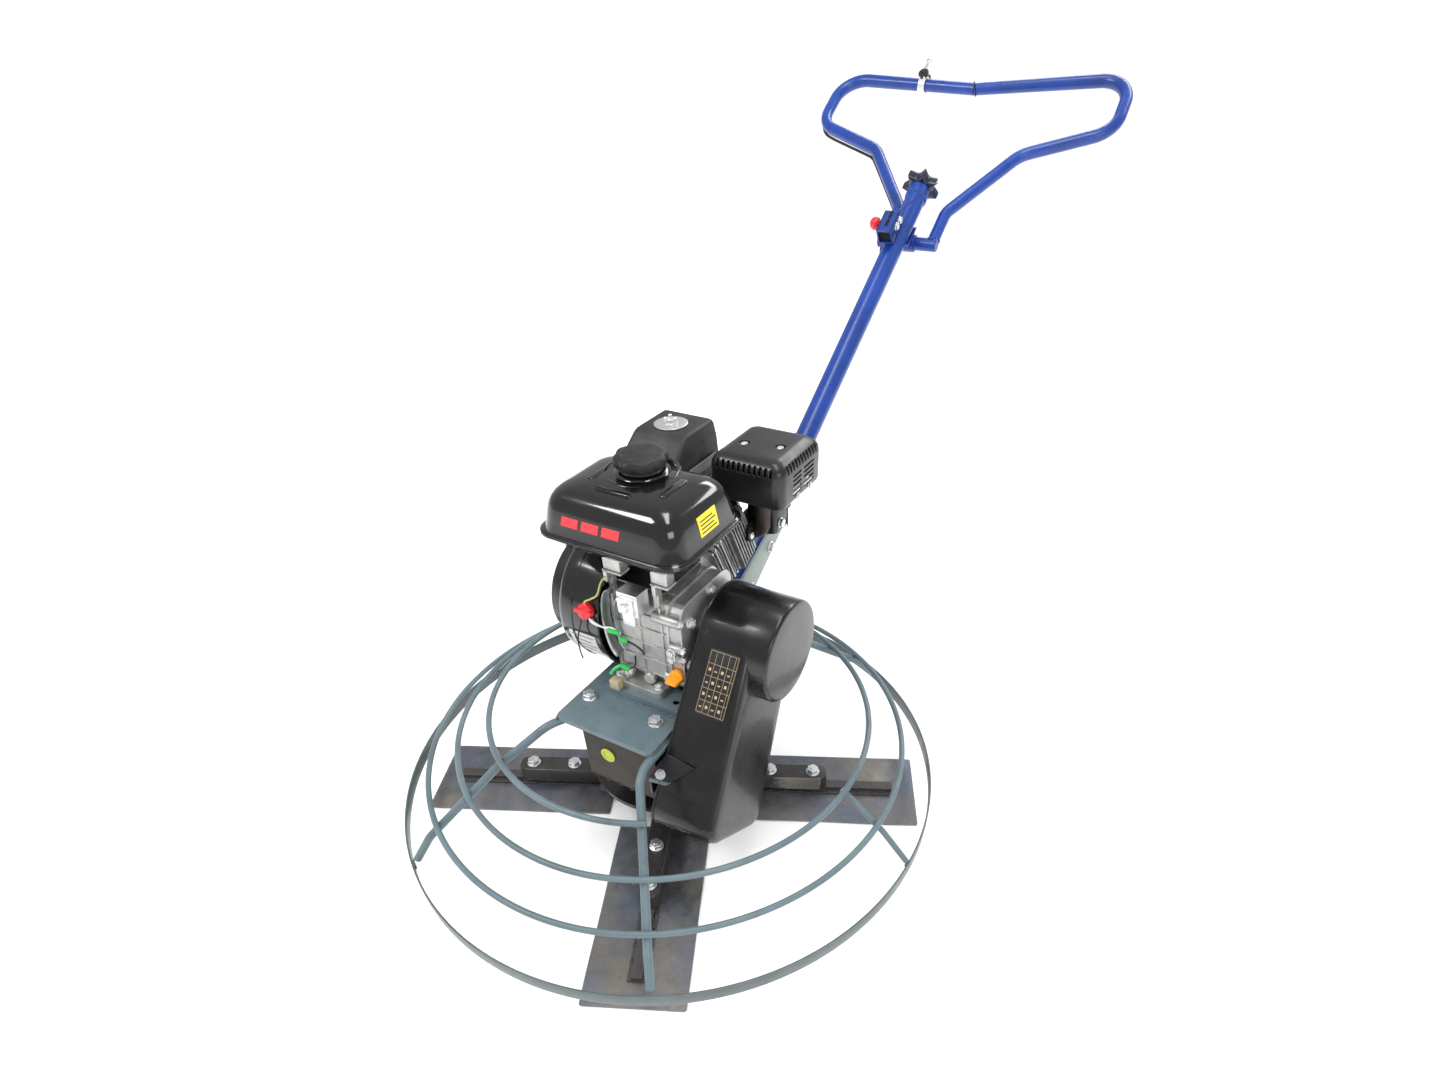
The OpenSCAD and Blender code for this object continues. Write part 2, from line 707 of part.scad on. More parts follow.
module fuel_tank() {
    color(black) difference() {
        union() {
            tank_half(flange_z, tank_top, -5, -26);
            tank_half(tank_low, flange_z, -26, -5);
            translate([0, 0, flange_z - 3]) linear_extrude(6) polygon(round_rect(tank_x, tank_y, 30));
            translate([tank_neck[0], tank_neck[1], tank_top - 1]) cylinder(d = 62, h = 7);
        }
        tank_half(flange_z, tank_top - 3, -8, -29);
        tank_half(tank_low + 3, flange_z + 0.01, -29, -8);
        translate([tank_neck[0], tank_neck[1], tank_top - 8]) cylinder(d = 50, h = 16);
    }
}

module fuel_cap() {
    color(black) translate([tank_neck[0], tank_neck[1], tank_top + 6.3]) {
        cylinder(d = 72, h = 14);
        for (i = [0 : 7]) rotate([0, 0, 45 * i]) translate([32, 0, 0]) cylinder(d = 16, h = 17);
        translate([0, 0, -12]) cylinder(d = 46, h = 13);
    }
}

module air_cleaner_base() {
    color(black) difference() {
        translate([0, 0, 536]) linear_extrude(16) polygon(round_rect(cleaner_x, cleaner_y, 12));
        translate([-62, 170, 535]) cylinder(d = 36, h = 18);
    }
}

module air_cleaner_cover() {
    color(black) difference() {
        hull() {
            translate([0, 0, 552.2]) linear_extrude(1) polygon(round_rect(cleaner_x, cleaner_y, 12));
            translate([0, 0, 639]) linear_extrude(1)
                polygon(round_rect(grow(cleaner_x, -10), grow(cleaner_y, -12), 12));
        }
        hull() {
            translate([0, 0, 551]) linear_extrude(1)
                polygon(round_rect(grow(cleaner_x, -3), grow(cleaner_y, -3), 9));
            translate([0, 0, 635]) linear_extrude(1)
                polygon(round_rect(grow(cleaner_x, -13), grow(cleaner_y, -15), 9));
        }
    }
    color(zinc) translate([-54, 168, 640]) {
        cylinder(d = 50, h = 2);
        translate([0, 0, 2]) cylinder(d = 14, h = 10, $fn = 6);
    }
}

module carburettor() {
    color(bare_alloy) {
        slab([-86, -35], [150, 190], [470, 510]);
        z_rod(34, [-62, 170], [509, 535.8]);
        z_rod(40, [-62, 170], [440, 471]);
    }
}

module choke_lever() {
    color(black) {
        x_rod(8, [-98, -86.2], 160, 498);
        slab([-102, -97], [156, 200], [494, 502]);
    }
}

module fuel_valve_lever() {
    color(black) {
        x_rod(8, [-98, -86.2], 160, 480);
        slab([-102, -97], [156, 196], [476, 484]);
    }
}

module muffler() {
    color([0.30, 0.29, 0.28]) {
        difference() {
            along_x(grow(muffler_x, -10)) polygon(round_rect(grow(muffler_y, -10), grow(muffler_z, -9), 20));
            along_x(grow(muffler_x, -12)) polygon(round_rect(grow(muffler_y, -12), grow(muffler_z, -11), 18));
        }
        x_rod(42, [exhaust[0] - 20, exhaust[0] - 12], exhaust[1], exhaust[2]);
        rod([exhaust[0] - 13, exhaust[1], exhaust[2]], exhaust, 26);
        rod(exhaust - [0, 0, 13], [exhaust[0], exhaust[1], muffler_z[0] + 8.8], 26);
    }
}

// Slotted heat shield over the muffler, open underneath
module muffler_shield() {
    x = muffler_x;
    y = muffler_y;
    z = muffler_z;
    color(black) difference() {
        along_x(x) polygon(round_rect(y, z, 14));
        along_x(grow(x, -2)) polygon(round_rect(grow(y, -2), grow(z, -2), 12));
        slab(grow(x, -6), grow(y, -16), [z[0] - 1, z[0] + 3]);
        for (i = [0 : 11])
            slab([x[0] + 12 + i * 9, x[0] + 16 + i * 9], [y[0] - 1, y[0] + 3], [z[1] - 30, z[1] - 12]);
        for (i = [0 : 7])
            slab([x[1] - 3, x[1] + 1], [y[0] + 30 + i * 10, y[0] + 34 + i * 10], [z[1] - 30, z[1] - 12]);
    }
}

// Throttle and governor plate between the crankcase and the tank
module control_bracket() {
    color(zinc) difference() {
        union() {
            slab([-30, 60], [-40, 62], [case_z[1] + 8, case_z[1] + 11]);
            for (x = [-24, 50]) slab([x - 4, x + 4], [-20, 50], [case_z[1] + 0.2, case_z[1] + 8]);
        }
        z_rod(6.1, control_pivot, [case_z[1] + 7, case_z[1] + 12]);
    }
}

module control_lever() {
    color(zinc) translate([control_pivot[0], control_pivot[1], case_z[1] + 11.3]) {
        cylinder(d = 14, h = 3);
        translate([0, 0, -3.2]) cylinder(d = 6, h = 3.3);
        translate([-5, 0, 0]) cube([10, 34, 3]);
    }
}

module dipstick() {
    color([0.95, 0.55, 0.08]) translate([dip_x, case_y[0] - 0.3, dip_z]) rotate([90, 0, 0]) {
        cylinder(d = 26, h = 8);
        translate([-12, -4, 8]) cube([24, 8, 18]);
        translate([0, 0, -11]) cylinder(d = 18, h = 11.1);
    }
}

module stop_switch() {
    color([0.80, 0.07, 0.10]) translate([-56, crank_y, crank_z]) rotate([90 - switch_up, 0, 0]) {
        translate([0, 0, fan_r + 0.5]) cylinder(d = 26, h = 14);
        translate([-17, -4, fan_r + 12]) cube([34, 8, 12]);
    }
}

module crankshaft() {
    color(zinc) translate([0, crank_y, crank_z]) {
        x_rod(25, [-110, crank_web_x[0]], 0, 0);
        x_rod(25, [crank_web_x[1], cover_x[1] + 9], 0, 0);
        x_rod(shaft_d, [cover_x[1] + 9, belt_x + 38], 0, 0);
        for (x = crank_web_x) x_rod(76, [x - 7, x + 7], 0, 0);
        x_rod(24, crank_web_x, -22, 0);
    }
}

module flywheel() {
    color([0.45, 0.46, 0.47]) translate([0, crank_y, crank_z]) difference() {
        union() {
            x_rod(150, [-80, -62], 0, 0);
            x_rod(64, [-96, -80], 0, 0);
            for (i = [0 : 15]) rotate([22.5 * i, 0, 0]) slab([-100, -78], [50, 74], [-2, 2]);
        }
        x_rod(25, [-101, -61], 0, 0);
    }
}

// ---------------------------------------------------------------- handle

// The handle's own frame: Z runs up the tube from its foot, -Y is the upper side of the tube
module on_handle() {
    translate(foot) rotate([handle_angle - 90, 0, 0]) children();
}

module handle_bracket() {
    cheek = [[150, deck_z + 5], [201, deck_z + 5], [240, deck_z - 20], [392, deck_z + 78],
        [372, deck_z + 112], [236, deck_z + 50], [150, deck_z + 40]];
    color(guard_paint) difference() {
        union() {
            for (x = [[-30, -24], [24, 30]]) along_x(x) polygon(cheek);
            slab([-62, 62], [150, 199], [deck_z, deck_z + 5]);
        }
        for (x = [-44, 44]) z_rod(10.4, [x, 178], [deck_z - 1, deck_z + 6]);
        on_handle() for (s = [40, 130]) translate([-40, 0, s]) rotate([0, 90, 0]) cylinder(d = 10.2, h = 80);
    }
    color(zinc) on_handle() for (s = [40, 130])
        translate([-36, 0, s]) rotate([0, 90, 0]) cylinder(d = 10, h = 72);
}

module handle_tube() {
    color(handle_blue) on_handle() difference() {
        union() {
            cylinder(d = tube_d, h = tube_l);
            translate([0, 0, tube_l - collar_l]) cylinder(d = tube_d + 5, h = collar_l);
        }
        translate([0, 0, -1]) cylinder(d = tube_d - 5, h = tube_l - 5);
        translate([0, 0, tube_l - 7]) cylinder(d = 16 + 2 * fit, h = 8);
        for (s = [40, 130]) translate([-40, 0, s]) rotate([0, 90, 0]) cylinder(d = 10.2, h = 80);
    }
}

// Sleeve under the tube that the handlebar loop turns in, with the quadrant for its lock
module pivot_bracket() {
    color(black) on_handle() translate([0, loop_drop, pivot_s]) difference() {
        union() {
            rotate([0, 90, 0]) translate([0, 0, -24]) cylinder(d = sleeve_d, h = 48);
            slab([-19, 19], [-loop_drop + tube_d / 2 + 0.1, -10], [-24, 24]);
            slab([-25.5, -22.5], [-42, 10], [-10, 60]);
        }
        rotate([0, 90, 0]) translate([0, 0, -30]) cylinder(d = loop_d + 2 * fit, h = 60);
        for (a = [0, 40]) rotate([a, 0, 0])
            translate([-27, 0, lock_r]) rotate([0, 90, 0]) cylinder(d = 8 + 2 * fit, h = 8);
    }
}

// Closed tube loop on its cross bar, with the clamp of the throttle lever
module handle_loop() {
    right = [[leg_right, 85], [163, 247], [loop_w + 8, 318], [loop_w + 3, 458], [0, 428]];
    left = [[-(loop_w + 3), 458], [-(loop_w + 8), 318], [-163, 247], [leg_left, 90]];
    path = concat([[0, 0], [leg_right, 0]], right, left, [[leg_left, 0], [0.5, 0]]);
    clamp_turn = 90 + atan(30 / (loop_w + 3));
    bend = [0, 18, 40, 60, 58, 60, 900, 60, 58, 60, 40, 14, 0];
    color(handle_blue) on_handle() translate([0, loop_drop, pivot_s]) difference() {
        rotate([90, 0, 0]) bent_tube(path, bend, loop_d);
        x_rod(8 + 2 * fit, grow([leg_left, leg_left], 16), 0, lock_r);
    }
    color(black) on_handle() translate([0, loop_drop, pivot_s]) translate([-124, 0, 439.5]) difference() {
        rotate([0, clamp_turn, 0]) translate([0, 0, -9]) cylinder(d = loop_d + 9, h = 18);
        rotate([0, clamp_turn, 0]) translate([0, 0, -10]) cylinder(d = loop_d, h = 20);
    }
}

module throttle_lever() {
    color(black) on_handle() translate([-124, loop_drop - loop_d / 2 - 5, pivot_s + 446]) rotate([90, 0, 0]) {
        cylinder(d = 22, h = 8);
        translate([-4, 0, 2]) cube([8, 36, 4]);
        translate([0, 36, 0]) cylinder(d = 12, h = 8);
    }
}

// Ball-ended pin through the loop's leg and into the quadrant
module lock_lever() {
    color([0.82, 0.06, 0.08]) on_handle() translate([leg_left, loop_drop, pivot_s + lock_r]) {
        rotate([0, -90, 0]) rotate_extrude()
            polygon(concat([[0, -20], [4, -20]], arc([0, 37], 13, -72, 90, 12)));
    }
}

module star_knob() {
    color([0.07, 0.10, 0.28]) on_handle() translate([0, 0, tube_l + 0.5]) {
        cylinder(d = 44, h = 26);
        for (i = [0 : 6]) rotate([0, 0, 360 / 7 * i]) translate([26, 0, 4]) cylinder(d = 22, h = 20);
        translate([0, 0, -60]) cylinder(d = 16, h = 61);
    }
}

// Route of the throttle cable: under the loop and the tube in the handle's own frame, then to the engine
loop_run = [[-136, 50, 1345], [-200, 50, 1351], [-263, 52, 1354], [-299, 52, 1348], [-326, 52, 1324],
    [-338, 52, 1289], [-339, 52, 1251], [-334, 52, 1224], [-319, 52, 1200], [-296, 52, 1185],
    [-240, 52, 1161], [-185, 52, 1138], [-171, 51, 1129], [-160, 51, 1117], [-113, 51, 1055],
    [-66, 51, 992], [-58, 51, 978], [-56, 51, 960], [-56, 51, 912], [-54, 52, 892], [-47, 50, 870],
    [-32, 42, 847], [-16, 32, 817], [-3, 26, 782]];
tube_run = [[0, 25, 742], [0, 25, 640], [0, 25, 520], [0, 27, 420], [-19, 19, 395], [-27, 0, 370],
    [-19, -19, 345], [0, -27, 320]];
engine_run = [[6, 440, 474], [10, 360, 478], [14, 290, 514], [16, 240, 548], [16, 190, 553],
    [15, 140, 545], [6, 110, 526], [-8, 84, 504], [-14, 66, 492]];

function handle_point(p) = foot + [p[0], p[1] * sin(handle_angle) + p[2] * cos(handle_angle),
    p[2] * sin(handle_angle) - p[1] * cos(handle_angle)];

module throttle_cable() {
    on_loop_and_tube = [for (p = concat(loop_run, tube_run)) handle_point(p)];
    color(black) cable(concat(on_loop_and_tube, engine_run), 6, up = [0, 0.55, -0.84]);
}

// Route of the pitch cable, down inside the tube and under the plate to the fork
pitch_route = [[0, 1009, 780], [0, 820, 656], [0, 630, 531], [0, 440, 406], [0, 252, 282], [0, 232, 268],
    [0, 208, 244], [0, 188, 214], [0, 173, 180], [0, 167, 152], [0, 166, 134]];

module pitch_cable() {
    color(black) cable(pitch_route, 8);
}

guard_band();
guard_rings();
guard_spokes();
engine_plate();
gearbox_housing();
gearbox_cover();
sight_plug();
gearbox_bearings();
belt_guard();
belt_guard_back();
frame_bolts();
crankcase();
side_cover();
cylinder_head();
fan_cover();
recoil_housing();
fuel_tank();
air_cleaner_base();
air_cleaner_cover();
carburettor();
muffler();
muffler_shield();
spark_plug();
control_bracket();
handle_bracket();
handle_tube();
pivot_bracket();
throttle_cable();
pitch_cable();
drive_belt();
output_shaft();
worm_wheel();
spider_hub();
arm(0);  // arm_1
arm(1);  // arm_2
arm(2);  // arm_3
arm(3);  // arm_4
blade(0);  // blade_1
blade(1);  // blade_2
blade(2);  // blade_3
blade(3);  // blade_4
pressure_plate();
lift_yoke();
worm_shaft();
input_pulley();
clutch_drum();
crankshaft();
flywheel();
clutch_hub();
star_knob();
handle_loop();
throttle_lever();
lock_lever();
stop_switch();
fuel_cap();
dipstick();
choke_lever();
fuel_valve_lever();
control_lever();
recoil_grip();
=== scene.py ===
"""Visual model of a walk-behind power trowel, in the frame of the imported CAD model."""
import bpy, bmesh, math, random
from mathutils import Matrix, Vector


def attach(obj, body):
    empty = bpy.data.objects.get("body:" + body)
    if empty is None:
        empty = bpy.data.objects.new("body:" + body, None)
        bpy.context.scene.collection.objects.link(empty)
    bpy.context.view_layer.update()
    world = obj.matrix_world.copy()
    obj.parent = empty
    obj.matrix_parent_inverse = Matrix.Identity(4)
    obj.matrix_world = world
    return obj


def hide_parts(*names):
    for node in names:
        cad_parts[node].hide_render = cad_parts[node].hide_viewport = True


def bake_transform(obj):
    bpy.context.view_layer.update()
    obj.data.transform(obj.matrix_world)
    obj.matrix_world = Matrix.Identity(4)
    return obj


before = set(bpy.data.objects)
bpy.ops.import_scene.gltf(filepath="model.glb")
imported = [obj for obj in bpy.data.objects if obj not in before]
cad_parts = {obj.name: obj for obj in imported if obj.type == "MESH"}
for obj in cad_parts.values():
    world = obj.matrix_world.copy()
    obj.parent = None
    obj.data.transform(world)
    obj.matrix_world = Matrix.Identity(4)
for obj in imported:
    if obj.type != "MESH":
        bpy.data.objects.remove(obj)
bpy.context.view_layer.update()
random.seed(4)
rad = math.radians

# ------------------------------------------------------------------ materials

class Shader:
    """A node material. Coordinates are the object's own, in metres."""

    def __init__(self, name, color=(0.5, 0.5, 0.5), rough=0.5, metal=0.0, coat=0.0, coat_rough=0.1):
        self.m = bpy.data.materials.new(name)
        self.m.use_nodes = True
        self.t = self.m.node_tree
        self.b = self.t.nodes["Principled BSDF"]
        self.b.inputs["Base Color"].default_value = (*color, 1)
        self.b.inputs["Roughness"].default_value = rough
        self.b.inputs["Metallic"].default_value = metal
        self.b.inputs["Coat Weight"].default_value = coat
        self.b.inputs["Coat Roughness"].default_value = coat_rough
        self.xyz = self.t.nodes.new("ShaderNodeTexCoord").outputs["Object"]
        self.color = None

    def node(self, kind, inputs=None, **settings):
        n = self.t.nodes.new(kind)
        for k, v in settings.items():
            setattr(n, k, v)
        for k, v in (inputs or {}).items():
            if isinstance(v, bpy.types.NodeSocket):
                self.t.links.new(v, n.inputs[k])
            else:
                n.inputs[k].default_value = v
        return n

    def stretch(self, scale):
        return self.node("ShaderNodeVectorMath", {0: self.xyz, 1: scale}, operation="MULTIPLY").outputs[0]

    def noise(self, scale, detail=4, rough=0.55, at=None, distort=0.0):
        return self.node("ShaderNodeTexNoise", {"Vector": at or self.xyz, "Scale": scale, "Detail": detail,
                                                "Roughness": rough, "Distortion": distort}).outputs["Fac"]

    def ramp(self, fac, *stops):
        n = self.node("ShaderNodeValToRGB", {"Fac": fac})
        e = n.color_ramp.elements
        while len(e) < len(stops):
            e.new(0.5)
        for el, (pos, val) in zip(e, stops):
            el.position = pos
            el.color = (*val, 1) if isinstance(val, tuple) else (val, val, val, 1)
        return n.outputs["Color"]

    def mix(self, fac, a, b, how="MIX"):
        n = self.node("ShaderNodeMix", data_type="RGBA", blend_type=how)
        for i, v in ((0, fac), (6, a), (7, b)):
            if isinstance(v, bpy.types.NodeSocket):
                self.t.links.new(v, n.inputs[i])
            else:
                n.inputs[i].default_value = (*v, 1) if isinstance(v, tuple) else v
        return n.outputs[2]

    def math(self, op, a, b=0.0, c=0.0):
        return self.node("ShaderNodeMath", {0: a, 1: b, 2: c}, operation=op).outputs[0]

    def edge(self, radius=0.002, gain=3.0):
        """White on sharp edges: the rounded normal against the true one."""
        soft = self.node("ShaderNodeBevel", {"Radius": radius}, samples=4).outputs["Normal"]
        true = self.node("ShaderNodeNewGeometry").outputs["True Normal"]
        dot = self.node("ShaderNodeVectorMath", {0: soft, 1: true}, operation="DOT_PRODUCT").outputs["Value"]
        return self.math("MULTIPLY", self.math("SUBTRACT", 1.0, dot), gain)

    def radius(self):
        """Distance from the rotor axis, for marks that run in circles."""
        s = self.node("ShaderNodeSeparateXYZ", {0: self.xyz})
        x2 = self.math("MULTIPLY", s.outputs[0], s.outputs[0])
        return self.math("SQRT", self.math("MULTIPLY_ADD", s.outputs[1], s.outputs[1], x2))

    def base(self, c):
        self.t.links.new(c, self.b.inputs["Base Color"])
        return self

    def rough(self, fac, lo, hi):
        r = self.node("ShaderNodeMapRange", {"Value": fac, "To Min": lo, "To Max": hi}).outputs["Result"]
        self.t.links.new(r, self.b.inputs["Roughness"])
        return self

    def metal(self, fac):
        self.t.links.new(fac, self.b.inputs["Metallic"])
        return self

    def bump(self, height, strength=0.2, distance=0.001, soft=0.0008):
        inputs = {"Height": height, "Strength": strength, "Distance": distance}
        if soft:
            inputs["Normal"] = self.node("ShaderNodeBevel", {"Radius": soft}, samples=4).outputs["Normal"]
        n = self.node("ShaderNodeBump", inputs)
        self.t.links.new(n.outputs["Normal"], self.b.inputs["Normal"])
        return self


def paint(name, color, dark, chip, rough=0.38, chips=0.62, grime=0.35):
    """Sprayed paint: soft mottling, grime, and edges worn to the metal."""
    s = Shader(name, color, rough, coat=0.15, coat_rough=0.2)
    c = s.mix(s.ramp(s.noise(9, 6), (0.35, 0.0), (0.7, 1.0)), color, dark)
    dirt = s.ramp(s.noise(38, 8, 0.65), (0.52, 0.0), (0.78, grime))
    c = s.mix(dirt, c, (dark[0] * 0.35, dark[1] * 0.33, dark[2] * 0.3))
    worn = s.ramp(s.math("MULTIPLY", s.edge(0.0018, 2.4), s.noise(160, 5)), (chips - 0.3, 0.0), (chips, 1.0))
    c = s.mix(worn, c, chip)
    s.base(c).rough(s.noise(55, 6), rough - 0.1, rough + 0.16)
    return s.bump(s.noise(420, 3), 0.07, 0.0006).m


def metal(name, color, rough=0.3, grain=(1, 1, 1), stain=(0.2, 0.18, 0.15), amount=0.35, bump=0.08):
    """Bare or plated metal with fine grain and a little staining."""
    s = Shader(name, color, rough, 1.0)
    lines = s.noise(260, 4, at=s.stretch(grain))
    c = s.mix(s.ramp(s.noise(30, 7), (0.5, 0.0), (0.85, amount)), color, stain)
    c = s.mix(s.ramp(lines, (0.3, 0.0), (0.7, 0.18)), c, tuple(v * 0.6 for v in color))
    s.base(c).rough(lines, rough - 0.08, rough + 0.16)
    return s.bump(lines, bump, 0.0005, 0.0006).m


def plastic(name, color, rough=0.4, texture=900, depth=0.12, coat=0.0, dust=0.12, soft=0.0012):
    """Moulded plastic: fine grain, dust and rubbed patches."""
    s = Shader(name, color, rough, coat=coat, coat_rough=0.08)
    haze = s.ramp(s.noise(14, 7, 0.6), (0.45, 0.0), (0.85, dust))
    s.base(s.mix(haze, color, (0.30, 0.28, 0.25)))
    s.rough(s.noise(22, 6), rough - 0.06, rough + 0.14)
    return s.bump(s.noise(texture, 2), depth, 0.0004, soft).m


def casting(name, color, rough=0.45, metallic=0.9, grain=520, depth=0.45, stain=(0.10, 0.09, 0.08),
        amount=0.5):
    """Sand or die casting: pitted, darker in its hollows, with a painted highlight along its edges."""
    s = Shader(name, color, rough, metallic)
    pits = s.noise(grain, 5, 0.7)
    patch = s.ramp(s.noise(26, 7, 0.65), (0.42, 0.0), (0.8, amount))
    c = s.mix(patch, color, stain)
    c = s.mix(s.ramp(pits, (0.25, 0.55), (0.5, 0.0)), c, stain)
    # Painted highlight: the edges get a lighter copy of the casting's own colour.
    c = s.mix(s.ramp(s.edge(0.002, 2.0), (0.15, 0.0), (0.8, 0.6)), c,
        tuple(min(1, v * 1.7 + 0.05) for v in color))
    s.base(c).rough(pits, rough + 0.2, rough - 0.08)
    return s.bump(pits, depth, 0.0009, 0.0012).m


M = {}
M["guard"] = paint("guard paint", (0.110, 0.160, 0.180), (0.075, 0.110, 0.128), (0.30, 0.31, 0.30))
# The band: its own greener tone, also made darker to paint the shade that falls on its upright face.
M["band"] = paint("guard band paint darkened as painted shade", (0.080, 0.108, 0.112), (0.050, 0.070, 0.074), (0.26, 0.27, 0.26))
M["bracket"] = paint("bracket paint", (0.185, 0.235, 0.215), (0.130, 0.170, 0.160), (0.42, 0.40, 0.26))
M["blue"] = paint("handle blue", (0.002, 0.040, 0.270), (0.002, 0.026, 0.170), (0.30, 0.32, 0.36), 0.28, 0.8,
    0.25)
M["black paint"] = paint("black paint", (0.009, 0.009, 0.010), (0.006, 0.006, 0.006), (0.16, 0.15, 0.14),
    0.30, 0.7, 0.2)
M["iron"] = casting("gearbox casting", (0.060, 0.052, 0.045), 0.55, 0.35, 380, 0.7, (0.030, 0.022, 0.016),
    0.7)
M["alloy"] = casting("crankcase alloy", (0.60, 0.60, 0.59), 0.36, 0.85, 620, 0.35, (0.09, 0.085, 0.08), 0.5)
M["head"] = casting("head alloy", (0.36, 0.36, 0.36), 0.45, 0.8, 620, 0.35, (0.05, 0.045, 0.04), 0.6)
M["zinc"] = metal("zinc plate", (0.86, 0.87, 0.88), 0.34, amount=0.15)
M["steel"] = metal("shaft steel", (0.52, 0.53, 0.54), 0.28, (0.15, 1, 1))
M["bronze"] = metal("worm bronze", (0.62, 0.42, 0.17), 0.3)
M["hot steel"] = metal("muffler steel", (0.07, 0.062, 0.058), 0.5, stain=(0.12, 0.06, 0.03), amount=0.6)
M["sheet"] = metal("governor sheet", (0.50, 0.54, 0.52), 0.30, stain=(0.22, 0.26, 0.24), amount=0.5)
M["tank"] = plastic("tank enamel", (0.003, 0.003, 0.0035), 0.10, 260, 0.015, 0.6, 0.01, 0.0006)
M["guard plastic"] = plastic("belt guard plastic", (0.004, 0.004, 0.004), 0.24, 120, 0.10, 0.2, 0.04)
M["black plastic"] = plastic("black plastic", (0.008, 0.008, 0.009), 0.42, 1400, 0.30)
M["grey plastic"] = plastic("air cleaner plastic", (0.014, 0.015, 0.017), 0.46, 1500, 0.35, dust=0.16)
M["rubber"] = plastic("rubber", (0.012, 0.012, 0.012), 0.6, 700, 0.3)
M["navy"] = plastic("knob plastic", (0.002, 0.004, 0.026), 0.28, 700, 0.06, 0.3, 0.04)
M["red"] = plastic("red plastic", (0.62, 0.010, 0.018), 0.26, 700, 0.04, 0.4, 0.02)
M["orange"] = plastic("dipstick plastic", (0.86, 0.33, 0.012), 0.35, 800, 0.06, 0.1, 0.02)
M["green"] = plastic("green plastic", (0.02, 0.42, 0.08), 0.35, 800, 0.05, 0.1, 0.02)
M["white wire"] = plastic("white wire", (0.72, 0.72, 0.70), 0.45, 800, 0.05)
M["yellow wire"] = plastic("olive wire", (0.42, 0.42, 0.12), 0.45, 800, 0.05)
M["beige"] = plastic("beige card", (0.42, 0.34, 0.22), 0.7, 500, 0.2)
M["sight"] = plastic("sight plug plastic", (0.48, 0.52, 0.03), 0.35, 500, 0.05, 0.2)
M["label"] = plastic("blank label", (0.55, 0.56, 0.57), 0.35, 800, 0.03, 0.0, 0.2)
M["label grey"] = plastic("label rules", (0.16, 0.17, 0.18), 0.45, 800, 0.03)
M["yellow label"] = plastic("yellow label", (0.86, 0.66, 0.01), 0.32, 800, 0.02, 0.2, 0.02)
M["rules"] = plastic("plate rules", (0.42, 0.31, 0.17), 0.5, 800, 0.03)
# Near-black for painted shade in holes, slots and vents, for the loop's joint gap, and for print on a
# sticker.
M["dark"] = plastic("painted hole shade, joint gap and print black", (0.003, 0.003, 0.003), 0.8, 800, 0.02)


def blade_material():
    """Trowel steel: blue-grey, dried cement and soil, dark cloudy patches of grime with the rings' shadows
    and reflections painted in, and fine circular scratches.
    """
    s = Shader("blade steel", (0.1, 0.12, 0.15), 0.4, 0.75)
    c = s.mix(s.ramp(s.noise(7, 8, 0.6), (0.38, 0.0), (0.66, 1.0)), (0.115, 0.132, 0.175),
        (0.205, 0.185, 0.150))
    # Dark cloudy patches: partly grime, partly painted shadow and reflection of the guard rings on the steel.
    c = s.mix(s.ramp(s.noise(32, 9, 0.72), (0.50, 0.0), (0.72, 0.75)), c, (0.045, 0.042, 0.045))
    c = s.mix(s.ramp(s.noise(120, 6, 0.7), (0.60, 0.0), (0.75, 0.7)), c, (0.30, 0.27, 0.22))
    r = s.node("ShaderNodeCombineXYZ", {0: s.radius()}).outputs[0]
    rings = s.noise(900, 3, at=r)
    c = s.mix(s.ramp(rings, (0.45, 0.0), (0.8, 0.35)), c, (0.42, 0.44, 0.48))
    c = s.mix(s.ramp(s.edge(0.0015, 3.0), (0.2, 0.0), (0.9, 0.7)), c, (0.45, 0.46, 0.48))
    s.base(c).metal(s.ramp(s.noise(32, 9, 0.72), (0.45, 0.8), (0.7, 0.15)))
    s.rough(s.noise(48, 8, 0.7), 0.24, 0.68)
    return s.bump(s.math("ADD", s.noise(150, 6, 0.7), rings), 0.22, 0.0007).m


M["blade"] = blade_material()

# ------------------------------------------------------------------ mesh tools, all in millimetres

DONE = set()
YZ = Matrix(((0, 0, 1, 0), (1, 0, 0, 0), (0, 1, 0, 0), (0, 0, 0, 1)))    # XY outline to YZ


def add(name, bm, mat, body="frame", stands_for=(), bevel=0.0, segs=2, angle=32):
    """Turns a bmesh into a piece on a body, with its sharp edges rounded."""
    bmesh.ops.recalc_face_normals(bm, faces=bm.faces)
    if bevel:
        bmesh.ops.remove_doubles(bm, verts=bm.verts, dist=0.001)
        edges = [e for e in bm.edges if len(e.link_faces) == 2 and e.calc_face_angle(0) > rad(28)]
        bmesh.ops.bevel(bm, geom=edges, offset=bevel, segments=segs, affect="EDGES", profile=0.6,
            clamp_overlap=True)
    me = bpy.data.meshes.new(name)
    bm.to_mesh(me)
    bm.free()
    me.transform(Matrix.Scale(0.001, 4))
    me.shade_smooth()
    me.set_sharp_from_angle(angle=rad(angle))
    me.materials.append(M[mat] if isinstance(mat, str) else mat)
    o = bpy.data.objects.new(name, me)
    bpy.context.scene.collection.objects.link(o)
    if body:
        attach(o, body)
    nodes = (stands_for,) if isinstance(stands_for, str) else stands_for
    if nodes:
        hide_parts(*nodes)
        DONE.update(nodes)
    return o


def place(bm, verts, m):
    bmesh.ops.transform(bm, matrix=m, verts=verts)


def at(x, y, z, axis="Z", turn=0):
    """Matrix that puts local Z along an axis or a vector, at a point."""
    v = {"X": Vector((1, 0, 0)), "Y": Vector((0, 1, 0)), "Z": Vector((0, 0, 1))}[axis] if isinstance(axis,
        str) else Vector(axis)
    q = Vector((0, 0, 1)).rotation_difference(v)
    return Matrix.Translation((x, y, z)) @ q.to_matrix().to_4x4() @ Matrix.Rotation(rad(turn), 4, "Z")


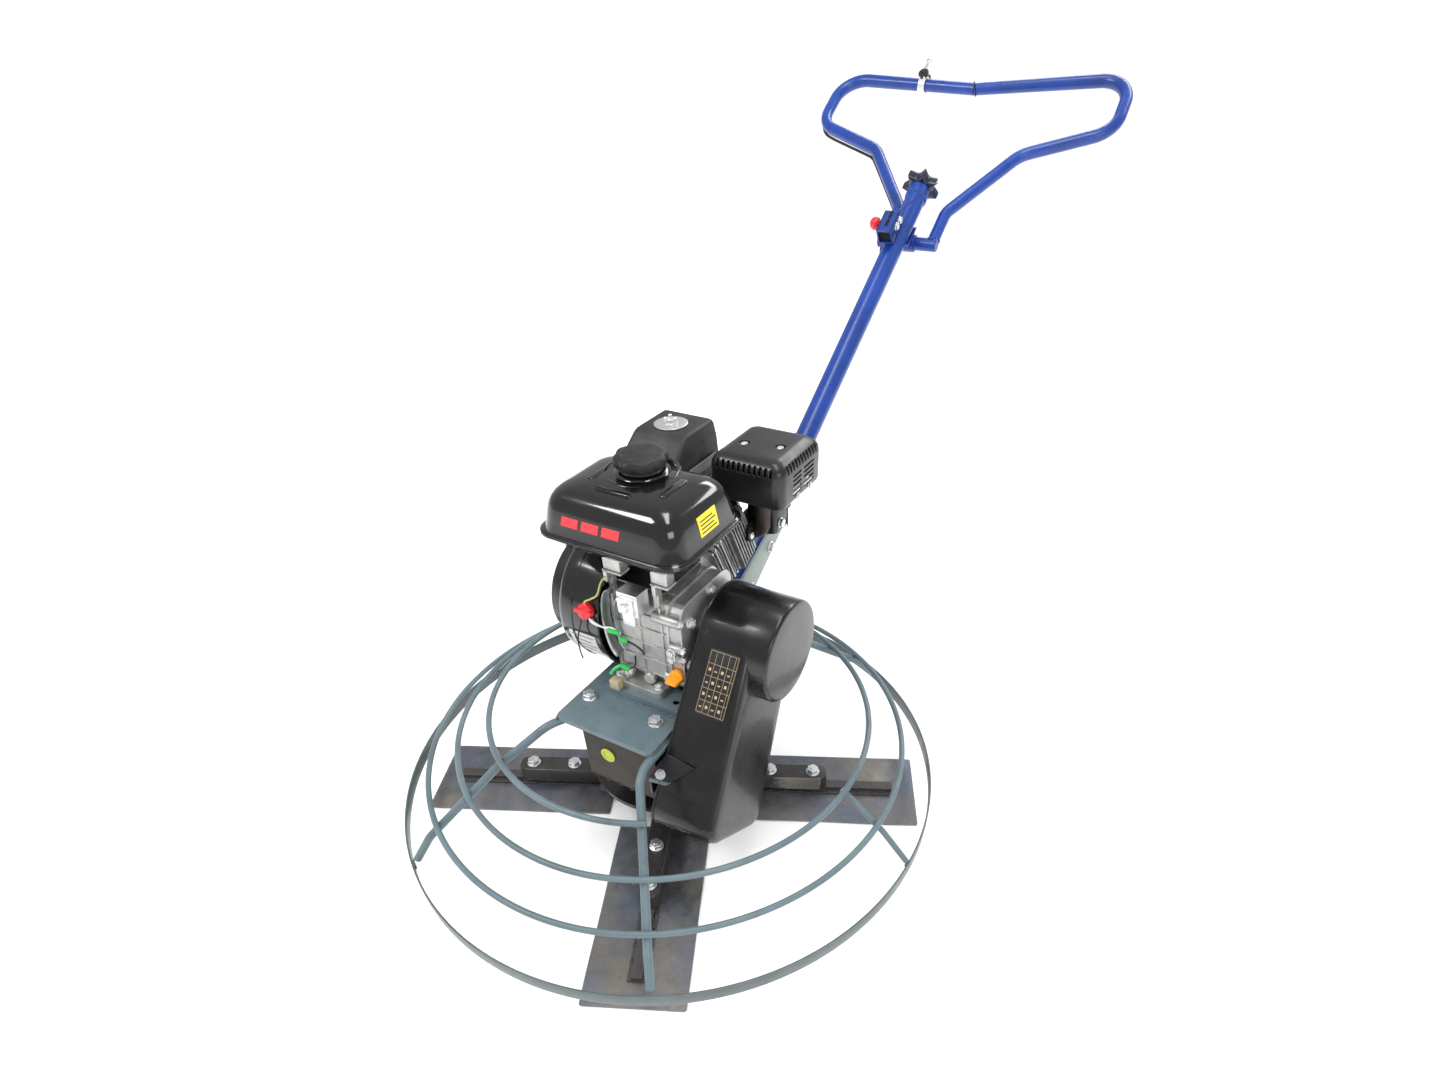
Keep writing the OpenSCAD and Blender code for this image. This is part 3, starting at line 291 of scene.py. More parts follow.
def prism(bm, pts, lo, hi, m=None, top=None):
    """A closed prism over an outline in local XY, from lo to hi. top is another outline of as many."""
    a = [bm.verts.new((p[0], p[1], lo)) for p in pts]
    b = [bm.verts.new((p[0], p[1], hi)) for p in (top or pts)]
    n = len(pts)
    bm.faces.new(a[::-1])
    bm.faces.new(b)
    for i in range(n):
        bm.faces.new((a[i], a[(i + 1) % n], b[(i + 1) % n], b[i]))
    if m is not None:
        place(bm, a + b, m)
    return a + b


def block(bm, x, y, z, m=None):
    return prism(bm, [(x[0], y[0]), (x[1], y[0]), (x[1], y[1]), (x[0], y[1])], z[0], z[1], m)


def lathe(bm, profile, m=None, n=48, closed=False, arc=360.0):
    """Turns a profile of (radius, height) about local Z. closed joins its last point to its first."""
    rings = []
    steps = n if arc == 360 else n + 1
    for r, z in profile:
        if r < 1e-6:
            rings.append([bm.verts.new((0, 0, z))] * steps)
        else:
            rings.append([bm.verts.new((r * math.cos(rad(arc) * i / n), r * math.sin(rad(arc) * i / n), z))
                for i in range(steps)])
    pairs = list(zip(rings, rings[1:])) + ([(rings[-1], rings[0])] if closed else [])
    for p, q in pairs:
        for i in range(n if arc == 360 else n):
            j = (i + 1) % steps
            face = [p[i], p[j], q[j], q[i]]
            face = [v for k, v in enumerate(face) if v not in face[:k]]
            if len(face) > 2:
                bm.faces.new(face)
    vs = list({v for r in rings for v in r})
    if m is not None:
        place(bm, vs, m)
    return vs


def disc(bm, r, lo, hi, m=None, n=32, edge=1.0):
    """A cylinder with chamfered rims."""
    e = min(edge, r * 0.4, (hi - lo) * 0.4)
    return lathe(bm, [(0, lo), (r - e, lo), (r, lo + e), (r, hi - e), (r - e, hi), (0, hi)], m, n)


def loft(bm, rings, caps=True, closed=False):
    """Skins a list of closed rings of points with equal counts."""
    vs = [[bm.verts.new(p) for p in r] for r in rings]
    n = len(vs[0])
    for a, b in list(zip(vs, vs[1:])) + ([(vs[-1], vs[0])] if closed else []):
        for i in range(n):
            bm.faces.new((a[i], a[(i + 1) % n], b[(i + 1) % n], b[i]))
    if caps:
        bm.faces.new(vs[0][::-1])
        bm.faces.new(vs[-1])
    return [v for r in vs for v in r]


def rrect(x, y, r, n=6):
    pts = []
    for cx, cy, a in ((x[1] - r, y[1] - r, 0), (x[0] + r, y[1] - r, 90), (x[0] + r, y[0] + r, 180),
            (x[1] - r, y[0] + r, 270)):
        pts += [(cx + r * math.cos(rad(a + 90 * i / n)), cy + r * math.sin(rad(a + 90 * i / n)))
            for i in range(n + 1)]
    return pts


def fillet(pts, radii, step=8):
    """Rounds the corners of a polyline of 3D points."""
    pts = [Vector(p) for p in pts]
    out = [pts[0]]
    for i in range(1, len(pts) - 1):
        u, v = (pts[i - 1] - pts[i]).normalized(), (pts[i + 1] - pts[i]).normalized()
        turn = math.pi - u.angle(v)
        r = radii[i] if isinstance(radii, (list, tuple)) else radii
        if turn < 0.02 or r <= 0:
            out.append(pts[i])
            continue
        cut = r * math.tan(turn / 2)
        centre = pts[i] + (u + v).normalized() * (r / math.cos(turn / 2))
        a, b = pts[i] + u * cut - centre, pts[i] + v * cut - centre
        axis = a.cross(b).normalized()
        k = max(2, int(math.degrees(turn) / step))
        out += [centre + Matrix.Rotation(turn * j / k, 3, axis) @ a for j in range(k + 1)]
    out.append(pts[-1])
    return out


def smooth_path(pts, per=6):
    """Catmull-Rom curve through points."""
    p = [Vector(v) for v in pts]
    p = [2 * p[0] - p[1]] + p + [2 * p[-1] - p[-2]]
    out = []
    for i in range(1, len(p) - 2):
        for j in range(per):
            t = j / per
            out.append(0.5 * ((2 * p[i]) + (p[i + 1] - p[i - 1]) * t
                + (2 * p[i - 1] - 5 * p[i] + 4 * p[i + 1] - p[i + 2]) * t * t
                + (3 * p[i] - p[i - 1] - 3 * p[i + 1] + p[i + 2]) * t ** 3))
    out.append(p[-2])
    return out


def sweep(bm, pts, r, sides=16, closed=False, shape=None):
    """A tube along points. r is one radius or a list; shape is a cross-section in place of a circle."""
    p = [Vector(v) for v in pts]
    n = len(p)
    tangents = []
    for i in range(n):
        a = p[(i - 1) % n] if closed or i > 0 else p[i]
        b = p[(i + 1) % n] if closed or i < n - 1 else p[i]
        tangents.append((b - a).normalized())
    up = Vector((0, 0, 1)) if abs(tangents[0].z) < 0.9 else Vector((1, 0, 0))
    side = tangents[0].cross(up).normalized()
    rings = []
    for i in range(n):
        if i:
            side = (tangents[i - 1].rotation_difference(tangents[i]) @ side)
        side = (side - tangents[i] * side.dot(tangents[i])).normalized()
        other = tangents[i].cross(side)
        rr = r[i] if isinstance(r, list) else r
        sect = shape or [(rr * math.cos(2 * math.pi * k / sides), rr * math.sin(2 * math.pi * k / sides))
            for k in range(sides)]
        rings.append([p[i] + side * a + other * b for a, b in sect])
    return loft(bm, rings, caps=not closed, closed=closed)


def bolt(bm, x, y, z, axis="Z", d=12, washer=True, turn=0, flange=False):
    """Hex head with a chamfered top, on a washer. The point is where the washer lies."""
    m = at(x, y, z, axis, turn)
    t = d * 0.16 if washer else 0
    if washer:
        lathe(bm, [(0, 0), (d * 1.02, 0), (d * 1.08, t * 0.4), (d * 1.02, t), (0, t)], m, 28)
    if flange:
        lathe(bm, [(0, t), (d * 1.05, t), (d * 1.05, t + d * 0.1), (d * 0.8, t + d * 0.22),
            (0, t + d * 0.22)], m, 28)
        t += d * 0.1
    af, h = d * 0.93, d * 0.62
    ring = lambda r, zz, n=6: [(r * math.cos(rad(60 * i)), r * math.sin(rad(60 * i)), zz) for i in range(n)]
    vs = loft(bm, [ring(af, t), ring(af, t + h * 0.86), ring(af * 0.87, t + h)])
    place(bm, vs, m)
    lathe(bm, [(d * 0.42, t + h), (d * 0.40, t + h + d * 0.10), (0, t + h + d * 0.12)], m, 20)


def weld(bm, c, r):
    """A small irregular bead."""
    c = Vector(c)
    rings = []
    for i in range(1, 5):
        a = math.pi * i / 5
        rr = r * (0.85 + 0.3 * random.random())
        rings.append([c + Vector((rr * math.sin(a) * math.cos(k * math.pi / 4),
            rr * math.sin(a) * math.sin(k * math.pi / 4), rr * 0.8 * math.cos(a))) for k in range(8)])
    loft(bm, rings)


def arm_black():
    """Black arm paint, rubbed and dusty."""
    s = Shader("arm paint", (0.02, 0.02, 0.02), 0.4, coat=0.1)
    c = s.mix(s.ramp(s.noise(40, 8, 0.7), (0.45, 0.0), (0.75, 0.5)), (0.020, 0.019, 0.019),
        (0.075, 0.062, 0.050))
    c = s.mix(s.ramp(s.math("MULTIPLY", s.edge(0.0016, 2.6), s.noise(140, 5)), (0.25, 0.0), (0.6, 0.9)), c,
        (0.24, 0.22, 0.20))
    s.base(c).rough(s.noise(60, 6), 0.30, 0.62)
    return s.bump(s.noise(300, 5, 0.65), 0.2, 0.0006).m


def bar_steel():
    """The bar on a blade: dark scale with patches of rust."""
    s = Shader("blade bar steel", (0.08, 0.07, 0.06), 0.5, 0.5)
    c = s.mix(s.ramp(s.noise(34, 8, 0.7), (0.42, 0.0), (0.7, 1.0)), (0.060, 0.062, 0.070),
        (0.095, 0.072, 0.055))
    c = s.mix(s.ramp(s.edge(0.0016, 2.6), (0.2, 0.0), (0.8, 0.7)), c, (0.30, 0.29, 0.28))
    s.base(c).rough(s.noise(60, 6), 0.35, 0.7)
    return s.bump(s.noise(260, 5, 0.65), 0.25, 0.0006).m


M["arm black"] = arm_black()
M["blade bar"] = bar_steel()

# ------------------------------------------------------------------ guard

RINGS = (422, 361, 297)          # radii of the three rings
KNEE_R, KNEE_Z = 225, 275        # where a leg bends down from the plate
SLOPE = 159 / 213                # fall of the legs outwards from there
LEG_R, BAR_R = 7, 5              # radii of the leg and ring bars
LEGS = (62, 118, 242, 298)       # angles of the legs, and of the side struts
STRUTS = (-2, 175)


def leg_z(r):
    return KNEE_Z - (r - KNEE_R) * SLOPE


def ring_z(r):
    """Height of a ring that lies on the legs."""
    return leg_z(r) + (LEG_R + BAR_R) / math.cos(math.atan(SLOPE)) + 1.2


def spin(a, r, z):
    return Vector((r * math.cos(rad(a)), r * math.sin(rad(a)), z))



# The rolled band round the guard, in the band colour that carries painted shade.
bm = bmesh.new()
lathe(bm, [(478, 52), (481, 52), (481.2, 64), (481, 77), (478, 77)], n=200, closed=True)
add("guard_band_rolled", bm, "band", stands_for="guard_band", bevel=0.7, segs=2)

bm = bmesh.new()
for r in RINGS[:2]:
    sweep(bm, [spin(i * 1.8, r + 0.5 * math.sin(i * 0.13), ring_z(r)) for i in range(200)], BAR_R, 14,
        closed=True)
sweep(bm, [spin(60 + i * 2, RINGS[2], ring_z(RINGS[2])) for i in range(121)], BAR_R, 14)
add("guard_ring_bars", bm, "guard", stands_for="guard_rings", bevel=0.0)

bm = bmesh.new()
for a in LEGS:
    sx, sy = (1 if a in (62, 298) else -1), (1 if a < 180 else -1)
    # A leg runs 56 degrees off the belt's axis, 28.4 mm to the side of the rotor's
    line = lambda d, z: (sx * (d * 0.5592 - 23.5), sy * (d * 0.829 + 15.9), z)
    first = [(104, sy * 120, 275), (104, sy * 192, 275), line(240, 266)] if sx > 0 else [(-66, sy * 152, 275),
        (-90, sy * 190, 273), line(300, 219)]
    path = fillet(first + [line(437, 117), line(468, 77)],
        [0, 34, 30, 45, 0] if sx > 0 else [0, 70, 120, 45, 0], 5)
    sweep(bm, path, LEG_R, 20)
for a in STRUTS:
    drop = 2 * BAR_R / math.cos(math.atan(SLOPE))
    sweep(bm, fillet([spin(a, 353, ring_z(353) - drop), spin(a, 430, ring_z(430) - drop), spin(a, 475, 79)],
        [0, 40, 0]), BAR_R, 14)
add("guard_leg_tubes", bm, "guard", stands_for="guard_spokes", bevel=0.0)

bm = bmesh.new()
for a in LEGS + STRUTS:
    thick = a in LEGS
    foot = a + (math.copysign(2.5, a % 180 - 90) if thick else 0)
    for r in RINGS:
        if not thick and r == RINGS[2]:
            continue
        for s in (-1, 1):
            for k in range(3):
                weld(bm, spin(a + s * math.degrees((5.5 if thick else 3.5) / r), r + (k - 1) * 2.6,
                    ring_z(r) - 4.6), 2.0)
    for k in range(10):
        t = 2 * math.pi * k / 10
        w = LEG_R if thick else BAR_R
        weld(bm, spin(foot + math.degrees(w * math.cos(t) / 476), 476.5,
            (68 if thick else 74) + w * 1.1 * math.sin(t)), 1.8)
add("guard_weld_beads", bm, "guard")

# ------------------------------------------------------------------ engine plate and gearbox

bm = bmesh.new()
for y in (-90, -42, 72, 120):
    for k in range(36):
        weld(bm, (-38 + 4.0 * k + random.uniform(-0.6, 0.6), y + (-1.6 if y in (-90, 72) else 1.6), 291.2),
            2.2)
for k in range(26):
    for x, y in ((111, -120 - k * 2.2), (-84 + k * 0.2, -168 - k * 0.4)):
        weld(bm, (x, y, 281.6), 1.8)
add("plate_weld_beads", bm, "guard")

bm = bmesh.new()
for x, y in ((-58, -115), (73, -115), (-48, 52), (60, 52)):
    bolt(bm, x, y, 290, d=12, turn=x + y)
    disc(bm, 5.9, 268, 290, at(x, y, 0), 16)
for x in (-26, 49.5):
    for y in (-66, 96):
        bolt(bm, x, y, 316, d=8, turn=3 * x + y, flange=True)
        disc(bm, 3.9, 294, 316, at(x, y, 0), 16)
for x in (-44, 44):
    bolt(bm, x, 178, 295, d=10, turn=x)
    disc(bm, 4.9, 274, 295, at(x, 178, 0), 16)
add("frame_bolts_hex", bm, "zinc", stands_for="frame_bolts")

bm = bmesh.new()
for x in (-50, -25, 0, 25, 50, 75):
    bolt(bm, x, -140, 139, (0, 0, -1), 6, washer=False, turn=x, flange=True)
for y in (-110, -70, -30):
    for x in (-54, 79):
        bolt(bm, x, y, 139, (0, 0, -1), 6, washer=False, turn=y, flange=True)
add("gearbox_cover_bolts", bm, "black paint")

bm = bmesh.new()
lathe(bm, [(0, 8), (10.9, 8), (10.9, 0), (13.4, 0), (14, -0.8), (14, -2.4), (11.5, -3.2), (9.4, -3.2),
    (8.6, -2.2), (8.4, -1.4), (0, -1.0)], at(-12, -145, 204, "Y"), 40)
add("sight_plug_window", bm, "sight", stands_for="sight_plug", bevel=0.0)

# ------------------------------------------------------------------ belt guard

LOW, HIGH = (-86, 202), (34, 387)      # the two pulleys' centres, as (y, z)
LOW_R, HIGH_R = 92, 83                 # the cover's radii round them
INNER_X = 118          # the cover's open side
ALONG = Vector((HIGH[0] - LOW[0], HIGH[1] - LOW[1])).normalized()


def belt_line(r1, r2, n=26):
    """The outline round two circles in YZ, starting with the arc of the upper one."""
    dx, dy = HIGH[0] - LOW[0], HIGH[1] - LOW[1]
    a, g = math.atan2(dy, dx), math.acos((r1 - r2) / math.hypot(dx, dy))
    pts = [(HIGH[0] + r2 * math.cos(a - g + 2 * g * i / n), HIGH[1] + r2 * math.sin(a - g + 2 * g * i / n))
        for i in range(n + 1)]
    s, e = a + g, a + 2 * math.pi - g
    return pts + [(LOW[0] + r1 * math.cos(s + (e - s) * i / n), LOW[1] + r1 * math.sin(s + (e - s) * i / n))
        for i in range(n + 1)]


def guard_line(e, n=9):
    """Outline of the cover: round over the clutch, square with filleted corners under the input pulley."""
    front, back, below, r = 94.6, 93, 97, 36
    w = Vector((-ALONG.y, ALONG.x))
    pts = belt_line(LOW_R + e, HIGH_R + e)[:27]
    for side, turn in ((front - r, 90), (r - back, 180)):
        c, a = Vector(LOW) + w * side - ALONG * (below - r), math.atan2(ALONG.y, ALONG.x) + rad(turn)
        pts += [(c.x + (r + e) * math.cos(a + rad(90) * i / n), c.y + (r + e) * math.sin(a + rad(90) * i / n))
            for i in range(n + 1)]
    return pts


def guard_ring(x, e):
    """One section of the cover at x. Its outer side leans out towards the lower end."""
    lean = 0.1 * (x - INNER_X) / 87
    return [(x + lean * max(0, 120 - ALONG.dot(Vector(p) - Vector(LOW))), p[0], p[1]) for p in guard_line(e)]


bm = bmesh.new()
steps = [(118, 0), (119, 0.3), (150, -0.4), (176, -0.9), (190, -1.6), (197, -3.2), (201.5, -6), (204.2, -10),
    (205.2, -15), (205.2, -30)]
outer = [guard_ring(x, e) for x, e in steps]
inner = [guard_ring(x - (0 if x < 120 else 2.5), e - 2.5) for x, e in steps]
loft(bm, [inner[-1]] + inner[-2::-1] + outer)
add("belt_guard_shell", bm, "guard plastic", stands_for="belt_guard", angle=40)

bm = bmesh.new()
lathe(bm, [(80, 118.5), (82.6, 119), (82.9, 160), (82.7, 200), (82.4, 229), (81.9, 231.8), (80.6, 233.8),
    (78.4, 235), (75, 235.4), (50, 235.8), (0, 236)], at(0, *HIGH, "X"), 96)
add("belt_guard_drum", bm, "guard plastic", angle=60)

bm = bmesh.new()
sweep(bm, [(INNER_X - 1.5, p[0], p[1]) for p in guard_line(-0.5)], 2.2, 8, closed=True)
add("belt_guard_rim_bead", bm, "guard plastic")

# A blank rules plate where the real one carries a table
f = Vector((0, HIGH[0] - LOW[0], HIGH[1] - LOW[1]))
k = 9 / f.length
f, half = f.normalized(), f.length / 2
nrm = Vector((0, -f.z, f.y))
f, nrm = f * math.sqrt(1 - k * k) - nrm * k, nrm * math.sqrt(1 - k * k) + f * k
face = Vector((0, *LOW)) + nrm * 92 + f * half


def on_face(x, t, lift=0.0):
    return Vector((x, face.y, face.z)) + f * t + nrm * lift


def patch(bm, x, t, lo, hi):
    corners = [(x[0], t[0]), (x[1], t[0]), (x[1], t[1]), (x[0], t[1])]
    loft(bm, [[on_face(a, b, lo) for a, b in corners], [on_face(a, b, hi) for a, b in corners]])


bm = bmesh.new()
patch(bm, (142, 194), (-13, 89), -1.5, 0.4)
add("belt_guard_plate", bm, "black plastic", bevel=0.3)
bm = bmesh.new()
for x in (144, 154.5, 165.5, 176.5, 187, 191.6):
    patch(bm, (x, x + 0.6), (-10, 86), 0.2, 0.75)
for t in (-10, 9, 28, 47, 66, 85.4):
    patch(bm, (144, 192), (t, t + 0.7), 0.2, 0.75)
for i, x in enumerate((149.5, 160, 171, 182)):
    for j, t in enumerate((-1, 18, 37, 56)):
        patch(bm, (x - 2.2, x + 2.2), (t - 1.2, t + (3.6 if (i + j) % 2 else 1.0)), 0.2, 0.7)
add("belt_guard_plate_rules", bm, "rules")

bm = bmesh.new()
prism(bm, guard_line(-1), 115, 118, YZ)
block(bm, (97, 101), (-178, -128), (200, 228))
loft(bm, [[on_face(x, t, h) for x, t in ((96, -136), (137, -130), (169, -94), (118, -89))]
    for h in (1.5, 4.5)])
add("belt_guard_back_plate", bm, "black paint", stands_for="belt_guard_back", bevel=0.5)
bm = bmesh.new()
bolt(bm, *on_face(117, -123, 4.5), nrm, 8, washer=True, turn=12)
add("belt_guard_ear_bolt", bm, "zinc")
bm = bmesh.new()
loft(bm, [[on_face(x, t, h) for x, t in ((98, -142), (128, -138), (137, -131), (98, -136))]
    for h in (0.2, 1.5)])
add("belt_guard_ear_stay", bm, "guard")
bm = bmesh.new()
# Painted shade: a near-black slot shape on the ear stands for the shade inside its slot.
loft(bm, [[on_face(115 + 3.5 * math.cos(rad(a)), -112 + (4 if a < 180 else -4) + 3.5 * math.sin(rad(a)), h)
    for a in range(15, 376, 30)] for h in (4.5, 4.8)])
add("belt_guard_ear_slot_shade", bm, "dark")

# ------------------------------------------------------------------ rotor

for i in range(4):
    turn = Matrix.Rotation(rad(26 + 90 * i), 4, "Z")
    body = "arm_%d" % (i + 1)
    bm = bmesh.new()
    n = 16
    outline = [(110, -81), (113, -83)] + [(113 + 344 * k / n, -83 - 0.5 * math.sin(math.pi * k / n * 3))
        for k in range(1, n)] + [(457, -83), (460, -80), (460, 80), (457, 83)] + [(457 - 344 * k / n, 83)
        for k in range(1, n)] + [(113, 83), (110, 81)]
    prism(bm, outline, 0, 3, turn)
    add("blade_%d_sheet" % (i + 1), bm, "blade", body, "blade_%d" % (i + 1), bevel=0.6)
    bm = bmesh.new()
    block(bm, (122, 418), (-16, 16), (3.0, 6.5), turn)
    block(bm, (122, 418), (-9, 9), (6.5, 16), turn)
    for x in range(132, 412, 28):
        for s in (-1, 1):
            lathe(bm, [(4.4, 6.4), (4.0, 7.8), (2.4, 8.8), (0, 9.1)], turn @ at(x, s * 12.6, 0), 14)
    add("blade_%d_bar" % (i + 1), bm, "blade bar", body, bevel=0.8)
    bm = bmesh.new()
    # Painted shade: near-black discs on the bar stand for the shade inside its holes.
    for x in (320, 355, 390):
        lathe(bm, [(5, 16.1), (5, 15.4), (0, 15.4)], turn @ at(x, 0, 0), 18)
    add("blade_%d_bar_holes" % (i + 1), bm, "dark", body)
    bm = bmesh.new()
    block(bm, (114, 280), (-18, 18), (16, 47), turn)
    prism(bm, [(280, -18), (290, -14), (294, -8), (294, 8), (290, 14), (280, 18)], 16, 47, turn)
    block(bm, (114, 130), (17, 54), (25, 41), turn)
    add("arm_%d_bar" % (i + 1), bm, "arm black", body, "arm_%d" % (i + 1), bevel=1.8, segs=2)
    bm = bmesh.new()
    for x in (188, 268):
        before = set(bm.verts)
        bolt(bm, x, 0, 47, d=12, turn=x * 3 + 11 * i)
        place(bm, [v for v in bm.verts if v not in before], turn)
    disc(bm, 5, 41, 75.8, turn @ at(122, 46, 0), 20)
    disc(bm, 12, 39, 115, turn @ at(0, 0, 33, "X"), 28)
    add("arm_%d_bolts" % (i + 1), bm, "zinc", body)

bm = bmesh.new()
lathe(bm, [(14, 9), (36, 9), (42, 14), (42, 45), (92, 45), (95, 47), (95, 55), (92, 57), (40, 57), (36, 59.4),
    (14, 59.4)], n=64, closed=True)
for i in range(4):
    t = Matrix.Rotation(rad(26 + 90 * i), 4, "Z")
    lathe(bm, [(12.1, 40), (20, 40), (22, 42), (22, 104), (23.5, 105), (23.5, 111), (22, 112), (12.1, 112)],
        t @ at(0, 0, 33, "X"), 36, closed=True)
add("spider_hub_casting", bm, "arm black", "rotor", "spider_hub", bevel=0.0)

# ------------------------------------------------------------------ fuel tank and cap

TX, TY = (-128, 130), (-97, 97)


def tank_ring(z, e, r, bow=0.0):
    x0, x1, y0, y1 = TX[0] - e, TX[1] + e, TY[0] - e, TY[1] + e
    return [(px, py, z + bow * (1 - ((px - 1) / 129) ** 2) * (1 - (py / 97) ** 2))
        for px, py in rrect((x0, x1), (y0, y1), r, 8)]


bm = bmesh.new()
prof = [(536, -46, 20), (536.4, -38, 22), (539, -30, 26), (545, -21, 30), (553, -13, 32), (560, -7.5, 33),
    (564.5, -5.0, 34)]
rim = [(565.0, -0.6, 35), (566, 0, 35), (570, 0, 35), (571.2, -0.8, 35)]
top = [(571.8, -5.4, 34), (575, -6.4, 34), (590, -9.5, 33), (604, -12.5, 32), (613, -15.5, 31),
    (620, -19.5, 30), (626, -25, 29), (630.5, -32, 28), (633.5, -41, 27)]
loft(bm, [tank_ring(*p) for p in prof + rim + top] + [tank_ring(635.2, -52, 24, 0.6),
    tank_ring(636.2, -66, 20, 1.2), tank_ring(636.8, -80, 12, 1.8)])
add("fuel_tank_shell", bm, "tank", stands_for="fuel_tank", angle=50)

bm = bmesh.new()
for z, e in ((566.5, -0.2), (569.6, -0.2)):
    sweep(bm, [Vector(p) for p in tank_ring(z, e, 35)], 1.0, 6, closed=True)
add("fuel_tank_seam", bm, "tank")

NECK = (-6, 26)
bm = bmesh.new()
lathe(bm, [(44, 634), (41, 638.5), (36, 641), (32, 641.5), (31, 645), (28, 645.4), (25.4, 645), (25.4, 630)],
    at(*NECK, 0), 56)
add("fuel_tank_neck", bm, "tank")

bm = bmesh.new()
n, rings = 128, []
turns = [2 * math.pi * i / n for i in range(n)]
for z, base, lobe in ((646.4, 34.5, 1.0), (647.2, 35.6, 1.6), (649, 36.2, 3.4), (656, 36.4, 4.2),
        (660, 36.0, 4.2), (662.6, 34.6, 3.4), (664, 32.0, 2.0), (664.4, 29.5, 0.6), (663.6, 28.6, 0.0),
        (663.6, 10, 0.0)):
    radii = [base + lobe * (0.5 + 0.5 * math.cos(8 * t)) ** 0.6 for t in turns]
    rings.append([(NECK[0] + r * math.cos(t), NECK[1] + r * math.sin(t), z) for r, t in zip(radii, turns)])
loft(bm, rings)
lathe(bm, [(22.8, 634), (22.8, 647), (0, 647)], at(*NECK, 0), 32)
add("fuel_cap_lobed", bm, "black plastic", "fuel_cap", "fuel_cap", angle=30)

# Plain decals that lie on the sloped walls
bm = bmesh.new()
for x0, x1 in ((-74, -44), (-38, -8), (-2, 28)):
    low, high = [(x0, -87.7, 588), (x1, -87.7, 588)], [(x1 + 3, -85.0, 602), (x0 + 3, -85.0, 602)]
    loft(bm, [[(x, y - d, z) for x, y, z in low + high] for d in (-2, 0.7)])
add("tank_badge_plain", bm, "red")
for name, mat, rows, d in (("tank_sticker_plain", "yellow label", ((-22, 24, 584, 612),), 0.6),
        ("tank_sticker_rules", "dark", tuple((-18, 20 - 6 * (k % 2), 588 + 5.4 * k, 589.6 + 5.4 * k)
        for k in range(4)), 0.85)):
    bm = bmesh.new()
    for y0, y1, z0, z1 in rows:
        quad = [(121.7 - (z - 585) * 0.215, y, z) for y, z in ((y0, z0), (y1, z0), (y1, z1), (y0, z1))]
        loft(bm, [[(x + e, y, z) for x, y, z in quad] for e in (-2, d)])
    add(name, bm, mat)
bm = bmesh.new()
for x0, x1, y0, y1 in ((-64, -50, -30, 40), (-36, 26, -50, -42), (60, 72, -30, 30)):
    loft(bm, [[(px, py, z) for px, py in rrect((x0 + e, x1 - e), (y0 + e, y1 - e), 3.4, 4)]
        for z, e in ((632, 0), (637.4, 0.3), (638.2, 1.6))])
lathe(bm, [(56, 632), (56, 637.2), (54.5, 638.2), (52, 638.2), (50.5, 637), (50.5, 632)], at(*NECK, 0), 64,
    closed=True)
add("fuel_tank_top_pads", bm, "tank", angle=60)

# ------------------------------------------------------------------ air cleaner, muffler, carburettor

CX, CY = (-112, 0), (108, 236)
bm = bmesh.new()
loft(bm, [[(p[0], p[1], z) for p in rrect((CX[0] - e, CX[1] + e), (CY[0] - e + f, CY[1] + e), r, 5)]
    for z, e, f, r in ((552.4, -1, 0, 8), (553, 0, 0, 9), (557, 0, 0, 9), (557.6, -1.5, 0, 8),
    (612, -4, 0, 8), (615, -4.4, 1.5, 8), (633.5, -7, 22, 7), (637.5, -9, 26, 6), (639.6, -12, 30, 5),
    (640, -16, 35, 4))])
add("air_cleaner_lid", bm, "grey plastic", stands_for="air_cleaner_cover", angle=24)
bm = bmesh.new()
m = at(-58, 178, 639.6)
lathe(bm, [(0, 0), (25, 0), (27, 0.8), (27.4, 1.8), (26, 2.4), (20, 2.0), (9, 2.6), (0, 2.8)], m, 48)
add("air_cleaner_disc", bm, "zinc")
bm = bmesh.new()
bolt(bm, -58, 178, 642, d=10, washer=False, flange=True, turn=20)
disc(bm, 3, 646, 656, at(-58, 178, 0), 14)
for s in (-1, 1):
    disc(bm, 3.2, 0, 8, at(-58 + s * 7.5, 178 + s * 3, 643), 14)
add("air_cleaner_wing_nut", bm, "zinc")
bm = bmesh.new()
loft(bm, [[(p[0], p[1], z) for p in rrect((CX[0] - e, CX[1] + e), (CY[0] - e, CY[1] + e), 12, 6)]
          for z, e in ((536, -7), (538, -4), (546, -2), (549, 0), (552, 0))])
disc(bm, 18, 520, 538, at(-62, 170, 0), 28)
add("air_cleaner_tray", bm, "grey plastic", stands_for="air_cleaner_base")
bm = bmesh.new()
block(bm, (-1.2, 0.6), (128, 216), (574, 590))
add("air_cleaner_blank_strip", bm, "label grey", bevel=0.4)

bm = bmesh.new()
X, Y = (32, 162), (138, 278)


def box_ring(z, e, r):
    return [(p[0], p[1], z) for p in rrect((X[0] - e, X[1] + e), (Y[0] - e, Y[1] + e), r, 7)]


shape = ((554, -5, 16), (556, -1.5, 17), (560, 0, 18), (604, 0, 18), (612, -1.2, 17), (618, -4.5, 16),
    (622.5, -9.5, 14), (625, -15, 12), (626, -22, 10))
inner = [box_ring(min(z, 623.6), e - 2.2, max(r - 2, 4)) for z, e, r in shape]
loft(bm, [inner[-1]] + inner[-2::-1] + [box_ring(*s) for s in shape])
shield = add("muffler_shield_shell", bm, "black paint", stands_for="muffler_shield", angle=40)
cut = bmesh.new()
for i in range(11):
    block(cut, (48 + i * 9.2, 52.6 + i * 9.2), (132, 152), (606, 619))
for i in range(11):
    block(cut, (148, 168), (160 + i * 9.2, 164.6 + i * 9.2), (606, 619))
for j, (y0, y1) in enumerate(((176, 204), (212, 246))):
    for k in range(5):
        block(cut, (156, 170), (y0, y1), (566 + k * 7.4, 569.6 + k * 7.4))
